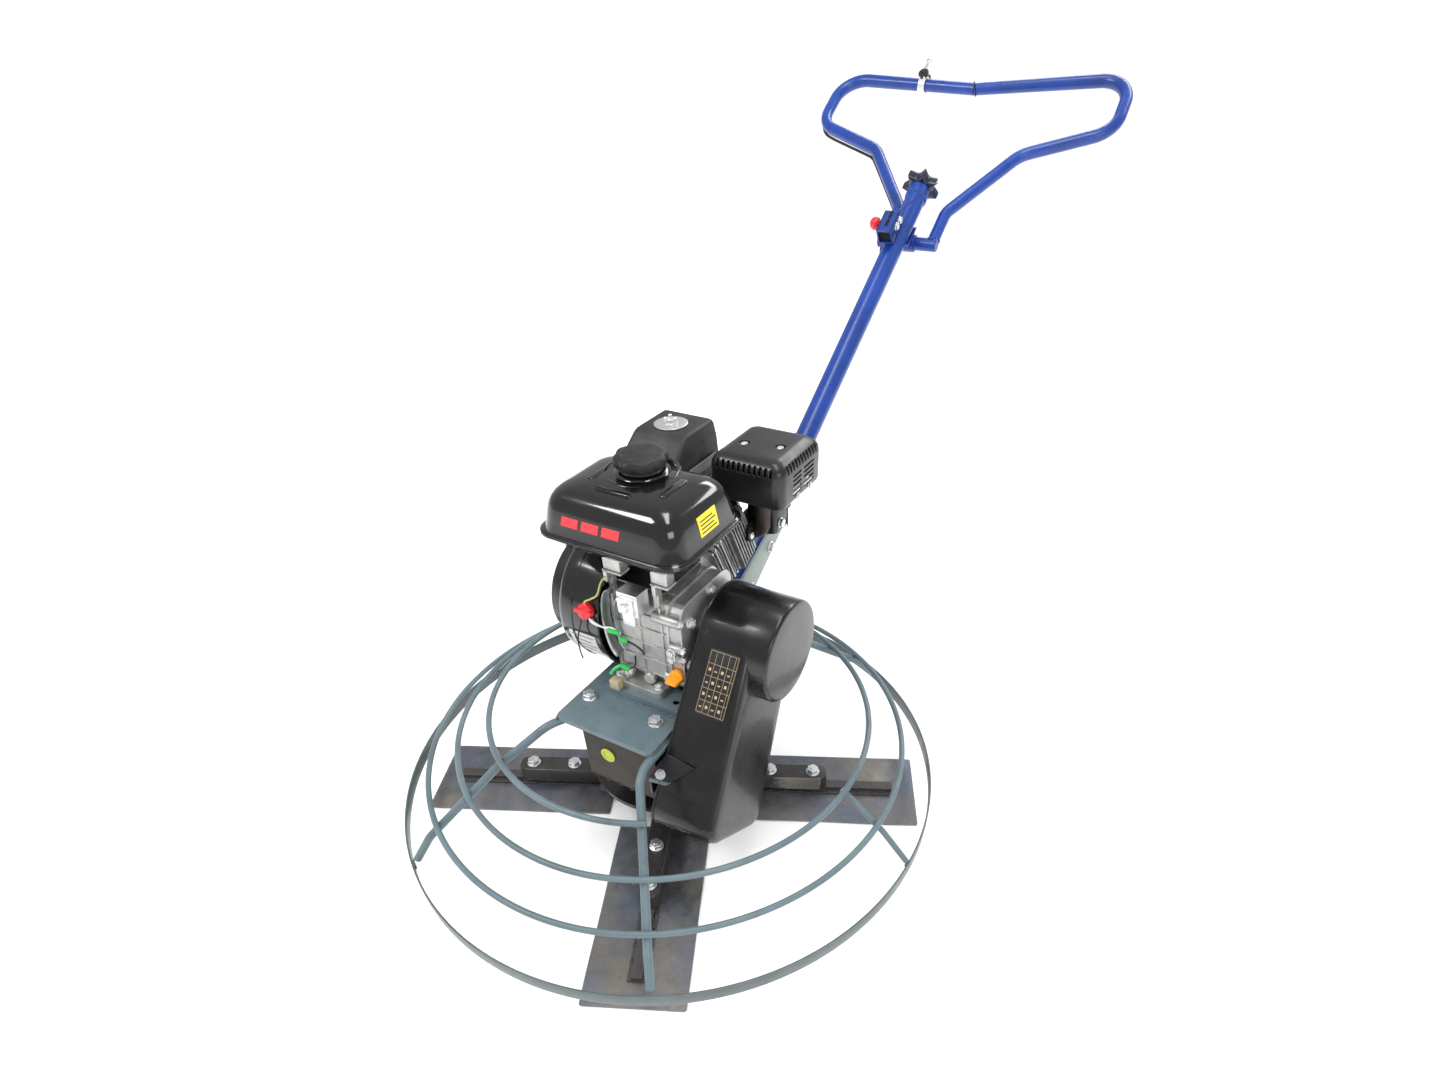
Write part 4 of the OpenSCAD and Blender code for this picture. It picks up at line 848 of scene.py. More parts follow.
for x, y in ((66, 196), (124, 206)):
    disc(cut, 9, 615, 630, at(x, y, 0), 24)
me = bpy.data.meshes.new("cut")
bmesh.ops.recalc_face_normals(cut, faces=cut.faces)
cut.to_mesh(me)
cut.free()
me.transform(Matrix.Scale(0.001, 4))
cutter = bpy.data.objects.new("cut", me)
bpy.context.scene.collection.objects.link(cutter)
mod = shield.modifiers.new("slots", "BOOLEAN")
mod.object, mod.solver, mod.operation = cutter, "EXACT", "DIFFERENCE"
bpy.context.view_layer.update()
new = bpy.data.meshes.new_from_object(shield.evaluated_get(bpy.context.evaluated_depsgraph_get()))
shield.modifiers.clear()
shield.data = new
bpy.data.objects.remove(cutter)

bm = bmesh.new()
for x, y in ((66, 196), (124, 206)):
    lathe(bm, [(10, 624.2), (9, 623.4), (5.5, 621), (0, 620.6), (0, 618), (9.6, 618)], at(x, y, 0), 24,
        closed=True)
add("muffler_dimples", bm, "black paint")
bm = bmesh.new()
loft(bm, [[(p[0], p[1], z) for p in rrect((44, 150), (150, 266), 20, 6)] for z in (562, 564, 612, 614)])
add("muffler_can", bm, "hot steel", stands_for="muffler", bevel=2.0)
bm = bmesh.new()
sweep(bm, fillet([(84, 186, 484), (102.2, 186, 484), (102.2, 186, 563)], [0, 17, 0]), 13, 20)
prism(bm, rrect((164, 208), (468, 500), 12, 4), 82.4, 89, YZ)
add("muffler_elbow", bm, "hot steel", bevel=0.8)
bm = bmesh.new()
for y in (168, 204):
    bolt(bm, 89, y, 484, "X", d=7, washer=False, turn=y)
add("muffler_flange_nuts", bm, "zinc")
bm = bmesh.new()
loft(bm, [[(p[0], p[1], z) for p in rrect((62 + e, 120 - e), (196 + e, 262 - e), 12, 4)]
    for z, e in ((470, 8), (476, 1), (500, 0), (548, 3), (553, 7))])
add("muffler_heat_shield", bm, "black paint", angle=50)
bm = bmesh.new()
bolt(bm, 120, 214, 492, "X", d=8, washer=True)
bolt(bm, 100, 196, 512, (0, -1, 0), d=8, washer=True)
block(bm, (119, 121), (240, 262), (470, 505))
add("muffler_heat_shield_bolts", bm, "zinc", bevel=0.4)
bm = bmesh.new()
for x, y in ((66, 196), (124, 206)):
    bolt(bm, x, y, 620.8, d=6.5, washer=False, flange=True, turn=x)
for y in (192, 232):
    bolt(bm, 162.2, y, 560, "X", d=5, washer=False, flange=True)
add("muffler_screws", bm, "zinc")

bm = bmesh.new()
block(bm, (-86, -35), (150, 190), (472, 508))
block(bm, (-82, -40), (154, 186), (508, 536))
disc(bm, 19, 440, 470, at(-62, 170, 0), 32, 3)
disc(bm, 6, 434, 442, at(-62, 170, 0), 16)
disc(bm, 9, -8, 2, at(-70, 150, 492, (0, -1, 0)), 20)
add("carburettor_body", bm, "alloy", stands_for="carburettor", bevel=2.0)
for name, z, tip in (("choke_lever", 498, 40), ("fuel_valve_lever", 480, 36)):
    bm = bmesh.new()
    disc(bm, 3.9, -98, -86.4, at(0, 160, z, "X"), 16)
    prism(bm, [(156, z - 4), (156, z + 4), (190, z + 3), (160 + tip - 2, z + 4), (160 + tip, z),
        (160 + tip - 2, z - 4), (190, z - 3)], -102, -97, YZ)
    add(name + "_moulded", bm, "black plastic", name, name, bevel=0.9)

# ------------------------------------------------------------------ crankcase details

CYL = Matrix.Translation((20, 22, 410)) @ Matrix.Rotation(rad(25 - 90), 4, "X")

bm = bmesh.new()
for x0, x1 in ((70.6, 74.6), (95.5, 98.6)):
    prism(bm, rrect((-59.5, 87.5), (307, 477.5), 28, 8), x0, x1, YZ)
for z in (334, 362, 390, 420, 446):
    block(bm, (-30, 71), (-58.6, -55), (z, z + 2.2))
for x in (-28, 18, 60):
    block(bm, (x, x + 3), (-59, -55), (312, 470))
for a in range(-40, 320, 60):
    y, z = 14 + 62 * math.cos(rad(a)), 392 + 74 * math.sin(rad(a))
    lathe(bm, [(9, 92), (9, 100), (7.6, 103.4), (0, 103.4)], YZ @ Matrix.Translation((y, z, 0)), 28)
for z in (474, 470):
    block(bm, (-30, 70), (-26, 60), (z, z + 2.5))
for x, y in ((-12, -58), (30, -58)):
    lathe(bm, [(11, -1), (11, 6), (8, 9), (0, 9)], at(x, y, 326, (0, -1, 0)), 24)
for x0, y, z, r in ((48, -58, 452, 9), (74, -60, 404, 6.5), (70, -60, 386, 6.5), (58, -57, 340, 8)):
    disc(bm, r, x0, 99, at(0, y, z, "X"), 24, 2)
block(bm, (78, 90), (-70, -58), (384, 408))
add("crankcase_ribs", bm, "alloy", bevel=1.4)

bm = bmesh.new()
for a in range(-40, 320, 60):
    y, z = 14 + 62 * math.cos(rad(a)), 392 + 74 * math.sin(rad(a))
    bolt(bm, 103, y, z, "X", d=7, washer=False, flange=True, turn=a)
bolt(bm, -12, -67, 326, (0, -1, 0), 9, washer=True, turn=10)
for y, z in ((-58, 452), (-60, 404), (-60, 386), (-57, 340)):
    bolt(bm, 99, y, z, "X", 7, washer=False, flange=True, turn=z)
for z in (390, 402):
    bolt(bm, 84, -70, z, (0, -1, 0), 7, washer=True, turn=z)
bolt(bm, 36, -66, 304, d=6, washer=True)
add("crankcase_bolts", bm, "zinc")

bm = bmesh.new()
for z in range(84, 131, 6):
    prism(bm, rrect((-54, 54), (-51.5, 51.5), 12, 5), z + 0.2, z + 2.2, CYL)
add("cylinder_extra_fins", bm, "head", bevel=0.5, segs=1)

bm = bmesh.new()
prism(bm, rrect((-46, 52), (-44, 46), 10, 4), 132.2, 176, CYL)
for i in range(6):
    prism(bm, rrect((-54, 62), (-54, 54), 10, 5), 132.6 + i * 6.6, 135.6 + i * 6.6, CYL)
prism(bm, rrect((-54, 62), (-52, 52), 12, 5), 170.5, 176, CYL)
for x, y in ((-46, -44), (48, -44), (-46, 46), (48, 46)):
    before = set(bm.verts)
    disc(bm, 8, 132.2, 178, at(x, y, 0), 20)
    bolt(bm, x, y, 178, d=8, washer=False, flange=True, turn=x)
    place(bm, [v for v in bm.verts if v not in before], CYL)
add("cylinder_head_fins", bm, "head", stands_for="cylinder_head", bevel=0.5, segs=1)

bm = bmesh.new()
loft(bm, [[(p[0], p[1], z) for p in rrect((-50 - e, 28 + e), (-32 - e, 42 + e), r, 6)]
    for z, e, r in ((176, 3, 15), (179, 3, 15), (179.6, 0, 14), (205, -1.5, 14), (214, -4, 13),
    (219.5, -9, 11), (222, -17, 9))])
place(bm, bm.verts[:], CYL)
for x, y in ((-46, -28), (24, -28), (-46, 38), (24, 38)):
    before = set(bm.verts)
    bolt(bm, x, y, 179, d=6, washer=False, flange=True)
    place(bm, [v for v in bm.verts if v not in before], CYL)
add("valve_cover_pressing", bm, "black paint", angle=40)

bm = bmesh.new()
lathe(bm, [(0, 153), (6.6, 153), (6.6, 175), (10, 176.4), (10.4, 180), (9.2, 182), (10.2, 184), (9.2, 186),
    (10, 188), (8.8, 192), (8.4, 205), (6.6, 211.6), (0, 212.2)], CYL @ Matrix.Translation((42, 0, 0)), 28)
add("spark_plug_boot", bm, "black plastic", stands_for="spark_plug")
bm = bmesh.new()
a = CYL @ Vector((42, 0, 210))
sweep(bm, smooth_path([a, a + Vector((0, 8, 8)), a + Vector((-6, 0, 26)), (34, 196, 532), (4, 172, 527),
    (-22, 146, 522), (-33, 124, 508)], 6), 3.4, 10)
add("spark_plug_lead", bm, "rubber")

# ------------------------------------------------------------------ fan cover, starter, switch, wiring

bm = bmesh.new()
lathe(bm, [(76, -118), (103, -118), (108, -116.6), (111, -113), (112, -108), (112, -92), (113.4, -91),
    (113.4, -88), (112, -87), (112, -46), (113.6, -45), (113.6, -36.5), (110, -36.5), (109, -108),
    (103, -114.8), (76, -115)], at(0, 22, 410, "X"), 96, closed=True)
add("fan_cover_pressing", bm, "tank", stands_for="fan_cover", angle=40)
bm = bmesh.new()
loft(bm, [[(x, p[0], p[1]) for p in rrect((84 + e, 146 - e), (360 + e, 518 - e), 16, 6)]
          for x, e in ((-118, 8), (-115, 3), (-110, 0.4), (-104, 0), (-36.6, 0))])
add("fan_cover_duct", bm, "tank", angle=40)
bm = bmesh.new()
for k in range(4):
    lathe(bm, [(112.6, -108 + k * 9), (114.2, -106.8 + k * 9), (114.2, -104.6 + k * 9),
        (112.6, -103.4 + k * 9)], at(0, 22, 410, "X", 90), 20, arc=46)
add("fan_cover_ribs", bm, "tank")

bm = bmesh.new()
lathe(bm, [(92, -118), (92, -145), (90.5, -148), (88, -149.6), (75, -150.4), (73.6, -156), (71, -159),
    (66, -160), (58, -160), (56, -158.4), (30, -158.4), (28, -160), (0, -160), (0, -156), (64, -156),
    (70, -148), (88, -146), (88.6, -118)], at(0, 22, 410, "X"), 96, closed=False)
add("recoil_housing_pressing", bm, "black paint", stands_for="recoil_housing", angle=40)
bm = bmesh.new()
# Painted shade: near-black strips on the housing stand for the shade inside its vents.
for k in range(18):
    t = YZ @ Matrix.Translation((22, 410, 0)) @ Matrix.Rotation(rad(20 * k), 4, "Z")
    block(bm, (34, 54), (-2.6, 2.6), (-158.9, -158.0), t)
for k in range(12):
    t = YZ @ Matrix.Translation((22, 410, 0)) @ Matrix.Rotation(rad(30 * k + 15), 4, "Z")
    block(bm, (77, 86), (-6, 6), (-150.9, -150.0), t)
add("recoil_vent_shade", bm, "dark")
bm = bmesh.new()
for k in range(3):
    t = rad(120 * k + 30)
    bolt(bm, -149.6, 22 + 82 * math.cos(t), 410 + 82 * math.sin(t), (-1, 0, 0), 6, washer=False, flange=True)
add("recoil_bolts", bm, "zinc")

ROPE = Matrix.Translation((-143, 102, 440)) @ Matrix.Rotation(rad(-55), 4, "X")
bm = bmesh.new()
sect = []
for k in range(25):
    x = -22 + 44 * k / 24
    r = 8.6 + 0.6 * math.cos(x * 0.5) - max(0, abs(x) - 18) ** 1.6 * 0.42
    sect.append((x, max(r, 1.5)))
lathe(bm, [(0, -22.2)] + [(r, x) for x, r in sect] + [(0, 22.2)], ROPE @ at(0, 0, 43, "X"), 32)
disc(bm, 7, 30, 42, ROPE, 24, 2)
add("recoil_grip_handle", bm, "black plastic", "recoil_grip", "recoil_grip")
bm = bmesh.new()
sweep(bm, [ROPE @ Vector((0.25 * math.sin(z * 1.4), 0.25 * math.cos(z * 1.4), z)) for z in range(-20, 34, 2)],
    2.4, 10)
add("recoil_rope", bm, "rubber", "recoil_grip")
bm = bmesh.new()
lathe(bm, [(3.2, -3), (6.5, -3), (7.5, 0), (7, 4), (4.4, 5), (3.2, 4)], ROPE @ Matrix.Translation((0, 0, 6)),
    24, closed=True)
add("recoil_rope_guide", bm, "black plastic")

SW = Matrix.Translation((-56, 22, 410)) @ Matrix.Rotation(rad(72), 4, "X")
bm = bmesh.new()
lathe(bm, [(0, 112.6), (12.6, 112.6), (13, 113.4), (13, 121), (12.2, 122.6), (10, 123.2), (0, 123.2)], SW, 36)
prism(bm, [(-17, -3.4), (-14, -4.2), (14, -4.2), (17, -3.4), (17, 3.4), (14, 4.2), (-14, 4.2), (-17, 3.4)],
    120, 127, SW, [(-15.5, -2.4), (-13, -3), (13, -3), (15.5, -2.4), (15.5, 2.4), (13, 3), (-13, 3),
    (-15.5, 2.4)])
block(bm, (-2, 2), (-13, -4), (121, 124), SW)
add("stop_switch_knob", bm, "red", "stop_switch", "stop_switch", bevel=0.9)
bm = bmesh.new()
lathe(bm, [(10, 108), (15.5, 109.4), (15.5, 112.2), (10, 112.2)], SW, 36, closed=True)
add("stop_switch_bezel", bm, "black plastic")


def on_drum(a, x, r):
    return Vector((x, 22 + r * math.cos(rad(a)), 410 + r * math.sin(rad(a))))


def drum_patch(bm, x, a, lo, hi, n=10):
    rows = [[on_drum(a[0] + (a[1] - a[0]) * i / n, x[k // 2], (lo, hi)[(k // 2 + k) % 2]) for k in range(4)]
        for i in range(n + 1)]
    loft(bm, rows)


bm = bmesh.new()
drum_patch(bm, (-100, -48), (186, 212), 111.6, 112.35)
add("fan_cover_blank_label", bm, "label")
bm = bmesh.new()
for k in range(4):
    drum_patch(bm, (-96 + 3 * (k % 2), -52 - 8 * (k % 2)), (189 + k * 5.4, 190.2 + k * 5.4), 112.2, 112.5, 2)
add("fan_cover_label_rules", bm, "label grey")

# Governor arm, zinc control box and the wires ahead of the crankcase
bm = bmesh.new()
block(bm, (8, 44), (-86, -57), (462, 500))
block(bm, (12, 40), (-92, -84), (468, 494))
prism(bm, rrect((10, 32), (440, 466), 3, 3), -82, -79,
    Matrix(((1, 0, 0, 0), (0, 0, 1, 0), (0, 1, 0, 0), (0, 0, 0, 1))))
bolt(bm, 26, -92, 481, (0, -1, 0), 8, washer=True, turn=12)
add("control_box_zinc", bm, "zinc", bevel=2.2, segs=2)
bm = bmesh.new()
arc_pts = [(-16 + 20 * math.cos(rad(a)), -66, 424 + 62 * math.sin(rad(a))) for a in range(94, 268, 6)]
sweep(bm, arc_pts, 1, shape=[(-11, -1.1), (-8, 0.6), (8, 0.6), (11, -1.1), (11, -2.4), (-11, -2.4)])
arc_pts = [(-8 + 14 * math.cos(rad(a)), -62, 420 + 50 * math.sin(rad(a))) for a in range(92, 266, 6)]
sweep(bm, arc_pts, 1, shape=[(-4, -1.4), (4, -1.4), (4, 1.4), (-4, 1.4)])
add("governor_arm_sheet", bm, "sheet", bevel=0.4, segs=1)
for x in ((-40, 2), (48, 86)):
    bm = bmesh.new()
    block(bm, (x[0] + 3, x[1] - 3), (-60, -36), (506, 511))
    block(bm, (x[0] + 5, x[1] - 5), (-58, -38), (511, 537))
    block(bm, (x[0] + 6, x[0] + 13), (-62, -54), (490, 510))
    add("tank_foot_%s" % ("left" if x[0] < 0 else "right"), bm, "alloy", bevel=2.5)

bm = bmesh.new()
lathe(bm, [(0, 0), (12, 0), (13, 1), (13, 7), (11.6, 8), (0, 8)], at(84, -56.4, 348, (0, -1, 0)), 32)
m = at(84, -56.4, 348, (0, -1, 0))
prism(bm, [(-13, -3.6), (-8, -4.4), (8, -4.4), (13, -3.6), (13, 3.6), (8, 4.4), (-8, 4.4), (-13, 3.6)], 7, 25,
    m, [(-10, -2.2), (-7, -2.8), (7, -2.8), (10, -2.2), (10, 2.2), (7, 2.8), (-7, 2.8), (-10, 2.2)])
add("dipstick_wing", bm, "orange", "dipstick", "dipstick", bevel=1.4, segs=3)

bm = bmesh.new()
for s in range(2):
    sweep(bm, smooth_path([on_drum(163, -56 + 4 * s, 118), (-44, -94, 436 - 4 * s), (-30, -88, 424),
        (-14, -84, 420 + 5 * s), (-2, -80, 414 + 3 * s)], 6), 1.3, 8)
add("switch_wires", bm, "white wire")
bm = bmesh.new()
sweep(bm, smooth_path([on_drum(160, -58, 118), (-56, -88, 462), (-46, -84, 468), (-36, -80, 476),
    (-34, -70, 492), (-30, -62, 500)], 6), 1.5, 8)
add("switch_earth_wire", bm, "yellow wire")
bm = bmesh.new()
sweep(bm, smooth_path([on_drum(166, -62, 118), (-64, -98, 424), (-70, -103, 398), (-70, -104, 376),
    (-67, -104, 360)], 6), 1.2, 8)
add("cable_tie_tail", bm, "black plastic")
bm = bmesh.new()
for p, q in (((-20, -87, 421), (-2, -82, 418)), ((-2, -84, 408), (10, -80, 405)),
        ((-14, -76, 346), (0, -74, 340))):
    sweep(bm, [p, Vector(p).lerp(Vector(q), 0.5), q], 4.4, 10)
sweep(bm, smooth_path([(-14, -76, 346), (-22, -84, 341), (-26, -92, 334)], 5), 3.2, 8)
add("green_connectors", bm, "green", bevel=0.8)
bm = bmesh.new()
sweep(bm, smooth_path([(10, -80, 405), (22, -76, 398), (26, -68, 384), (24, -62, 372)], 6), 1.6, 8)
sweep(bm, smooth_path([(-2, -74, 340), (6, -66, 346), (4, -60, 360)], 6), 1.6, 8)
add("oil_sensor_wires", bm, "rubber")
bm = bmesh.new()
block(bm, (-30, -12), (-94, -80), (304.5, 322))
add("foot_packing_block", bm, "beige", bevel=1.5)

# ------------------------------------------------------------------ handle

HM = Matrix.Translation((0, 235, 283)) @ Matrix.Rotation(rad(33.3 - 90), 4, "X")
PM = HM @ Matrix.Translation((0, 38, 892))

bm = bmesh.new()
lathe(bm, [(21, 0), (21, 965), (23.5, 967), (23.5, 989), (22.6, 990), (8.1, 990), (8.1, 983), (18.5, 983),
    (18.5, 0)], HM, 56, closed=True)
add("handle_tube_painted", bm, "blue", stands_for="handle_tube")
bm = bmesh.new()
lathe(bm, [(21.2, 2), (22.4, 2.6), (22.4, 14), (21.2, 14.6)], HM, 48)
add("handle_tube_end_ring", bm, "blue")

bm = bmesh.new()
cheek = [(150, 295), (201, 295), (240, 270), (392, 368), (372, 402), (236, 340), (150, 330)]
for x in ((-30, -24), (24, 30)):
    prism(bm, cheek, x[0], x[1], YZ)
block(bm, (-62, 62), (150, 199), (290, 295))
add("handle_bracket_cheeks", bm, "bracket", stands_for="handle_bracket", bevel=1.6)
bm = bmesh.new()
for s in (40, 130):
    p = HM @ Vector((0, 0, s))
    bolt(bm, 30, p.y, p.z, "X", 10, turn=s)
    bolt(bm, -30, p.y, p.z, (-1, 0, 0), 10, turn=s)
    disc(bm, 5, -30, 30, at(0, p.y, p.z, "X"), 16)
add("handle_bracket_bolts", bm, "zinc")

# Loop: two halves that meet on the upper bar in a slanted joint
RIGHT = [(60, 6), (60, 85), (163, 247), (330, 318), (325, 458), (0, 428)]
LEFT = [(-46, 6), (-46, 90), (-163, 247), (-330, 318), (-325, 458), (0, 428)]
bm = bmesh.new()
for pts in (RIGHT, LEFT):
    path = fillet([(x, 0, s) for x, s in pts], [0, 40, 60, 58, 60, 0], 5)
    sweep(bm, path, [12.5] * (len(path) - 1) + [11.6], 24)
disc(bm, 12.5, -58, 72, at(0, 0, 0, "X"), 32, 1.6)
place(bm, bm.verts[:], PM)
add("handle_loop_tube", bm, "blue", "handle_loop", "handle_loop")
bm = bmesh.new()
m = PM @ Matrix.Translation((0, 0, 428.5)) @ Matrix.Rotation(rad(64), 4, "Y")
sweep(bm, [m @ Vector((13.2 * math.cos(t * math.pi / 16), 13.2 * math.sin(t * math.pi / 16), 0))
    for t in range(32)], 1.3, 6, closed=True)
add("handle_loop_joint_gap", bm, "dark", "handle_loop")
bm = bmesh.new()
for x in (60, -46):
    for k in range(20):
        t = 2 * math.pi * k / 20
        weld(bm, PM @ Vector((x + 12.9 * math.cos(t), 12.4 * math.sin(t), 2.5 + 10.5 * abs(math.cos(t)))),
            1.9)
add("handle_loop_weld", bm, "blue", "handle_loop")

TURN = math.degrees(math.atan(30 / 325))
bm = bmesh.new()
m = PM @ Matrix.Translation((-124, 0, 439.5)) @ Matrix.Rotation(rad(90 + TURN), 4, "Y")
lathe(bm, [(12.6, -8), (16, -8), (16.6, -7), (16.6, 7), (16, 8), (12.6, 8)], m, 40, closed=True)
block(bm, (-4, 4), (-22, -15), (-7, 7), m)
add("throttle_clamp_band", bm, "zinc", "handle_loop", bevel=0.5)
bm = bmesh.new()
block(bm, (-26, -15), (-5, 5), (-6, 6), m)
add("throttle_clamp_lug", bm, "black plastic", "handle_loop", bevel=1.2)
bm = bmesh.new()
m = HM @ Matrix.Translation((-124, 20.5, 1338)) @ Matrix.Rotation(rad(90), 4, "X")
lathe(bm, [(0, 0), (11, 0), (11.4, 1), (11.4, 6.4), (10, 8), (5, 8), (4.4, 10.4), (0, 10.8)], m, 32)
add("throttle_lever_hub", bm, "black plastic", "throttle_lever", "throttle_lever")
bm = bmesh.new()
prism(bm, [(-4.4, 4), (4.4, 4), (3.4, 30), (3.8, 36), (0, 40), (-3.8, 36), (-3.4, 30)], 2.6, 5.4, m)
lathe(bm, [(0, 0), (5.2, 0), (6, 2), (6, 6), (5.2, 8), (0, 8.6)], m @ Matrix.Translation((0, 36, 0)), 24)
add("throttle_lever_arm", bm, "zinc", "throttle_lever", bevel=0.4)

# Pivot bracket: sleeve, saddle, slotted channel and quadrant
bm = bmesh.new()
lathe(bm, [(12.55, -24), (16, -24), (16.5, -23.4), (16.5, 23.4), (16, 24), (12.55, 24)],
    PM @ at(0, 0, 0, "X"), 48, closed=True)
block(bm, (-19, 19), (-20, -12), (-22, 22), PM)
for k in range(16):
    for s in (-19.5, 19.5):
        weld(bm, PM @ Vector((s, -19, -22 + 44 * k / 15)), 2.2)
add("pivot_bracket_sleeve", bm, "blue", stands_for="pivot_bracket", bevel=0.8)
bm = bmesh.new()
arc_pts = [(-42, -10), (10, -10), (10, 50), (4, 58), (-8, 60), (-36, 52), (-42, 44)]
prism(bm, arc_pts, -25.5, -22.5, PM @ YZ)
add("pivot_bracket_quadrant", bm, "blue", bevel=0.7)
bm = bmesh.new()
# Painted shade: near-black discs through the quadrant stand for the shade in its holes.
for a in (0, 20, 40):
    t = rad(a)
    disc(bm, 4.1, -25.7, -22.3, PM @ at(0, -44 * math.sin(t), 44 * math.cos(t), "X"), 20, 0.1)
add("quadrant_hole_shade", bm, "dark")
bm = bmesh.new()
for x, y in (((-30, 2), (-92, -89)), ((-30, 2), (-63, -60)), ((-30, -27), (-92, -60)), ((-1, 2), (-92, -60))):
    block(bm, [v + 6 for v in x], y, (-66, -14), PM)
block(bm, (-8, 8), (-60, -50), (-62, -18), PM)
add("pivot_bracket_channel", bm, "blue", bevel=0.8)
bm = bmesh.new()
# Painted shade: a near-black sheet inside the channel, and slot shapes on its wall, stand for the shade
# there.
block(bm, (-21.4, 5.4), (-89.4, -62.6), (-60, -58), PM)
for z in (-44, -24):
    prism(bm, [(-8 + 3.4 * math.cos(rad(a)), z + (6 if math.sin(rad(a)) > 0 else -6) + 3.4 * math.sin(rad(a)))
        for a in range(15, 376, 30)], 92.0, 92.4, PM @ Matrix(((1, 0, 0, 0), (0, 0, -1, 0), (0, 1, 0, 0),
        (0, 0, 0, 1))))
add("pivot_bracket_channel_shade", bm, "dark")
bm = bmesh.new()
for z in (-40, -24):
    bolt(bm, *(PM @ Vector((8, -80, z))), "X", 7, washer=True, turn=z)
add("pivot_bracket_bolts", bm, "zinc")
bm = bmesh.new()
sweep(bm, smooth_path([PM @ Vector(p) for p in ((2, -90, -18), (10, -80, 14), (26, -66, 62), (40, -54, 104))],
    6), 0.9, 6)
add("pivot_bracket_loose_wire", bm, "rubber")

bm = bmesh.new()
m = PM @ Matrix.Translation((-46, 0, 44)) @ Matrix.Rotation(rad(-90), 4, "Y")
lathe(bm, [(0, -20), (3.4, -20), (4, -19.4), (4, 27)], m, 24)
lathe(bm, [(6.6, 14), (7, 15), (7, 20), (5, 22), (4, 22), (4, 14)], m, 24, closed=True)
add("fold_lock_pin", bm, "zinc", "lock_lever", "lock_lever")
bm = bmesh.new()
lathe(bm, [(0, 24)] + [(13.2 * math.sin(rad(a)), 37 - 13.2 * math.cos(rad(a)) + (1.0 if a < 60 else 0))
    for a in range(20, 178, 8)] + [(0, 50.2)], m, 40)
add("fold_lock_ball", bm, "red", "lock_lever")

# Star knob: seven horns with hollows between them
bm = bmesh.new()
m = HM @ Matrix.Translation((0, 0, 990.5))
rings, n = [], 196
for z, k in ((0, 0.90), (1.5, 0.97), (4, 1.0), (16, 1.0), (20, 0.95), (22, 0.84)):
    ring = []
    for i in range(n):
        t = 2 * math.pi * i / n
        r = (26.5 + 13 * (1 - abs(math.sin(3.5 * t)) ** 0.85)) * k
        ring.append((r * math.cos(t - 0.385), r * math.sin(t - 0.385), z))
    rings.append(ring)
place(bm, loft(bm, rings), m)
lathe(bm, [(17, 21.6), (15.5, 25), (12, 26.4), (0, 27)], m, 40)
add("star_knob_horns", bm, "navy", "star_knob", "star_knob", angle=50)
bm = bmesh.new()
lathe(bm, [(0, -60), (7.2, -60), (8, -59)] + [(8 - 0.7 * (k % 2), -57 + 1.4 * k)
    for k in range(34)] + [(8, -6), (8, 0.4)], m, 24)
add("star_knob_screw", bm, "steel", "star_knob")

# Cables
ROUTE = [HM @ Vector(p) for p in ((-136, 50, 1345), (-200, 50, 1351), (-263, 52, 1354), (-299, 52, 1348),
    (-326, 52, 1324), (-338, 52, 1289), (-339, 52, 1251), (-334, 52, 1224), (-319, 52, 1200),
    (-296, 52, 1185), (-240, 52, 1161), (-185, 52, 1138), (-171, 51, 1129), (-160, 51, 1117),
    (-113, 51, 1055), (-66, 51, 992), (-58, 51, 978), (-56, 51, 960), (-56, 51, 912), (-54, 52, 892),
    (-47, 50, 870), (-32, 42, 847), (-16, 32, 817), (-3, 26, 782), (0, 25, 742), (0, 25, 640), (0, 25, 520),
    (0, 27, 420), (-19, 19, 395), (-27, 0, 370), (-19, -19, 345), (0, -27, 320))]
ROUTE += [(6, 440, 474), (10, 360, 478), (14, 290, 514), (16, 240, 548), (16, 190, 553), (15, 140, 545),
    (6, 110, 526), (-8, 84, 504), (-14, 66, 492)]
bm = bmesh.new()
sweep(bm, smooth_path(ROUTE, 5), 2.8, 12)
o = add("throttle_cable_sheath", bm, "rubber", None, "throttle_cable")
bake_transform(o)
PITCH = [(0, 1009, 780), (0, 820, 656), (0, 630, 531), (0, 440, 406), (0, 252, 282), (0, 232, 268),
    (0, 208, 244), (0, 188, 214), (0, 173, 180), (0, 167, 152), (0, 166, 134)]
bm = bmesh.new()
sweep(bm, smooth_path(PITCH, 4), 3.8, 12)
add("pitch_cable_sheath", bm, "rubber", stands_for="pitch_cable")

# ------------------------------------------------------------------ the CAD nodes that stay

STAY = {"engine_plate": "guard", "gearbox_housing": "iron", "gearbox_cover": "iron",
    "gearbox_bearings": "steel", "crankcase": "alloy", "side_cover": "alloy", "control_bracket": "sheet",
    "control_lever": "zinc", "drive_belt": "rubber", "output_shaft": "steel", "worm_wheel": "bronze",
    "pressure_plate": "black paint", "lift_yoke": "black paint", "worm_shaft": "steel",
    "input_pulley": "black paint", "clutch_drum": "steel", "crankshaft": "steel", "flywheel": "head",
    "clutch_hub": "hot steel"}
missing = set(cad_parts) - DONE - set(STAY)
assert not missing, missing
for name, key in STAY.items():
    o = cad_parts[name]
    o.data.materials.clear()
    o.data.materials.append(M[key])

# ------------------------------------------------------------------ floor, light and camera

floor = Shader("studio floor", (0.92, 0.92, 0.92), 0.7)
floor.base(floor.mix(floor.ramp(floor.noise(2.0, 3), (0.4, 0.0), (0.6, 1.0)), (0.92, 0.92, 0.92),
    (0.91, 0.91, 0.908)))
bm = bmesh.new()
bmesh.ops.create_grid(bm, x_segments=2, y_segments=2, size=60000)
bmesh.ops.translate(bm, verts=bm.verts, vec=(0, 0, -0.3))
add("studio_floor", bm, floor.m, None)

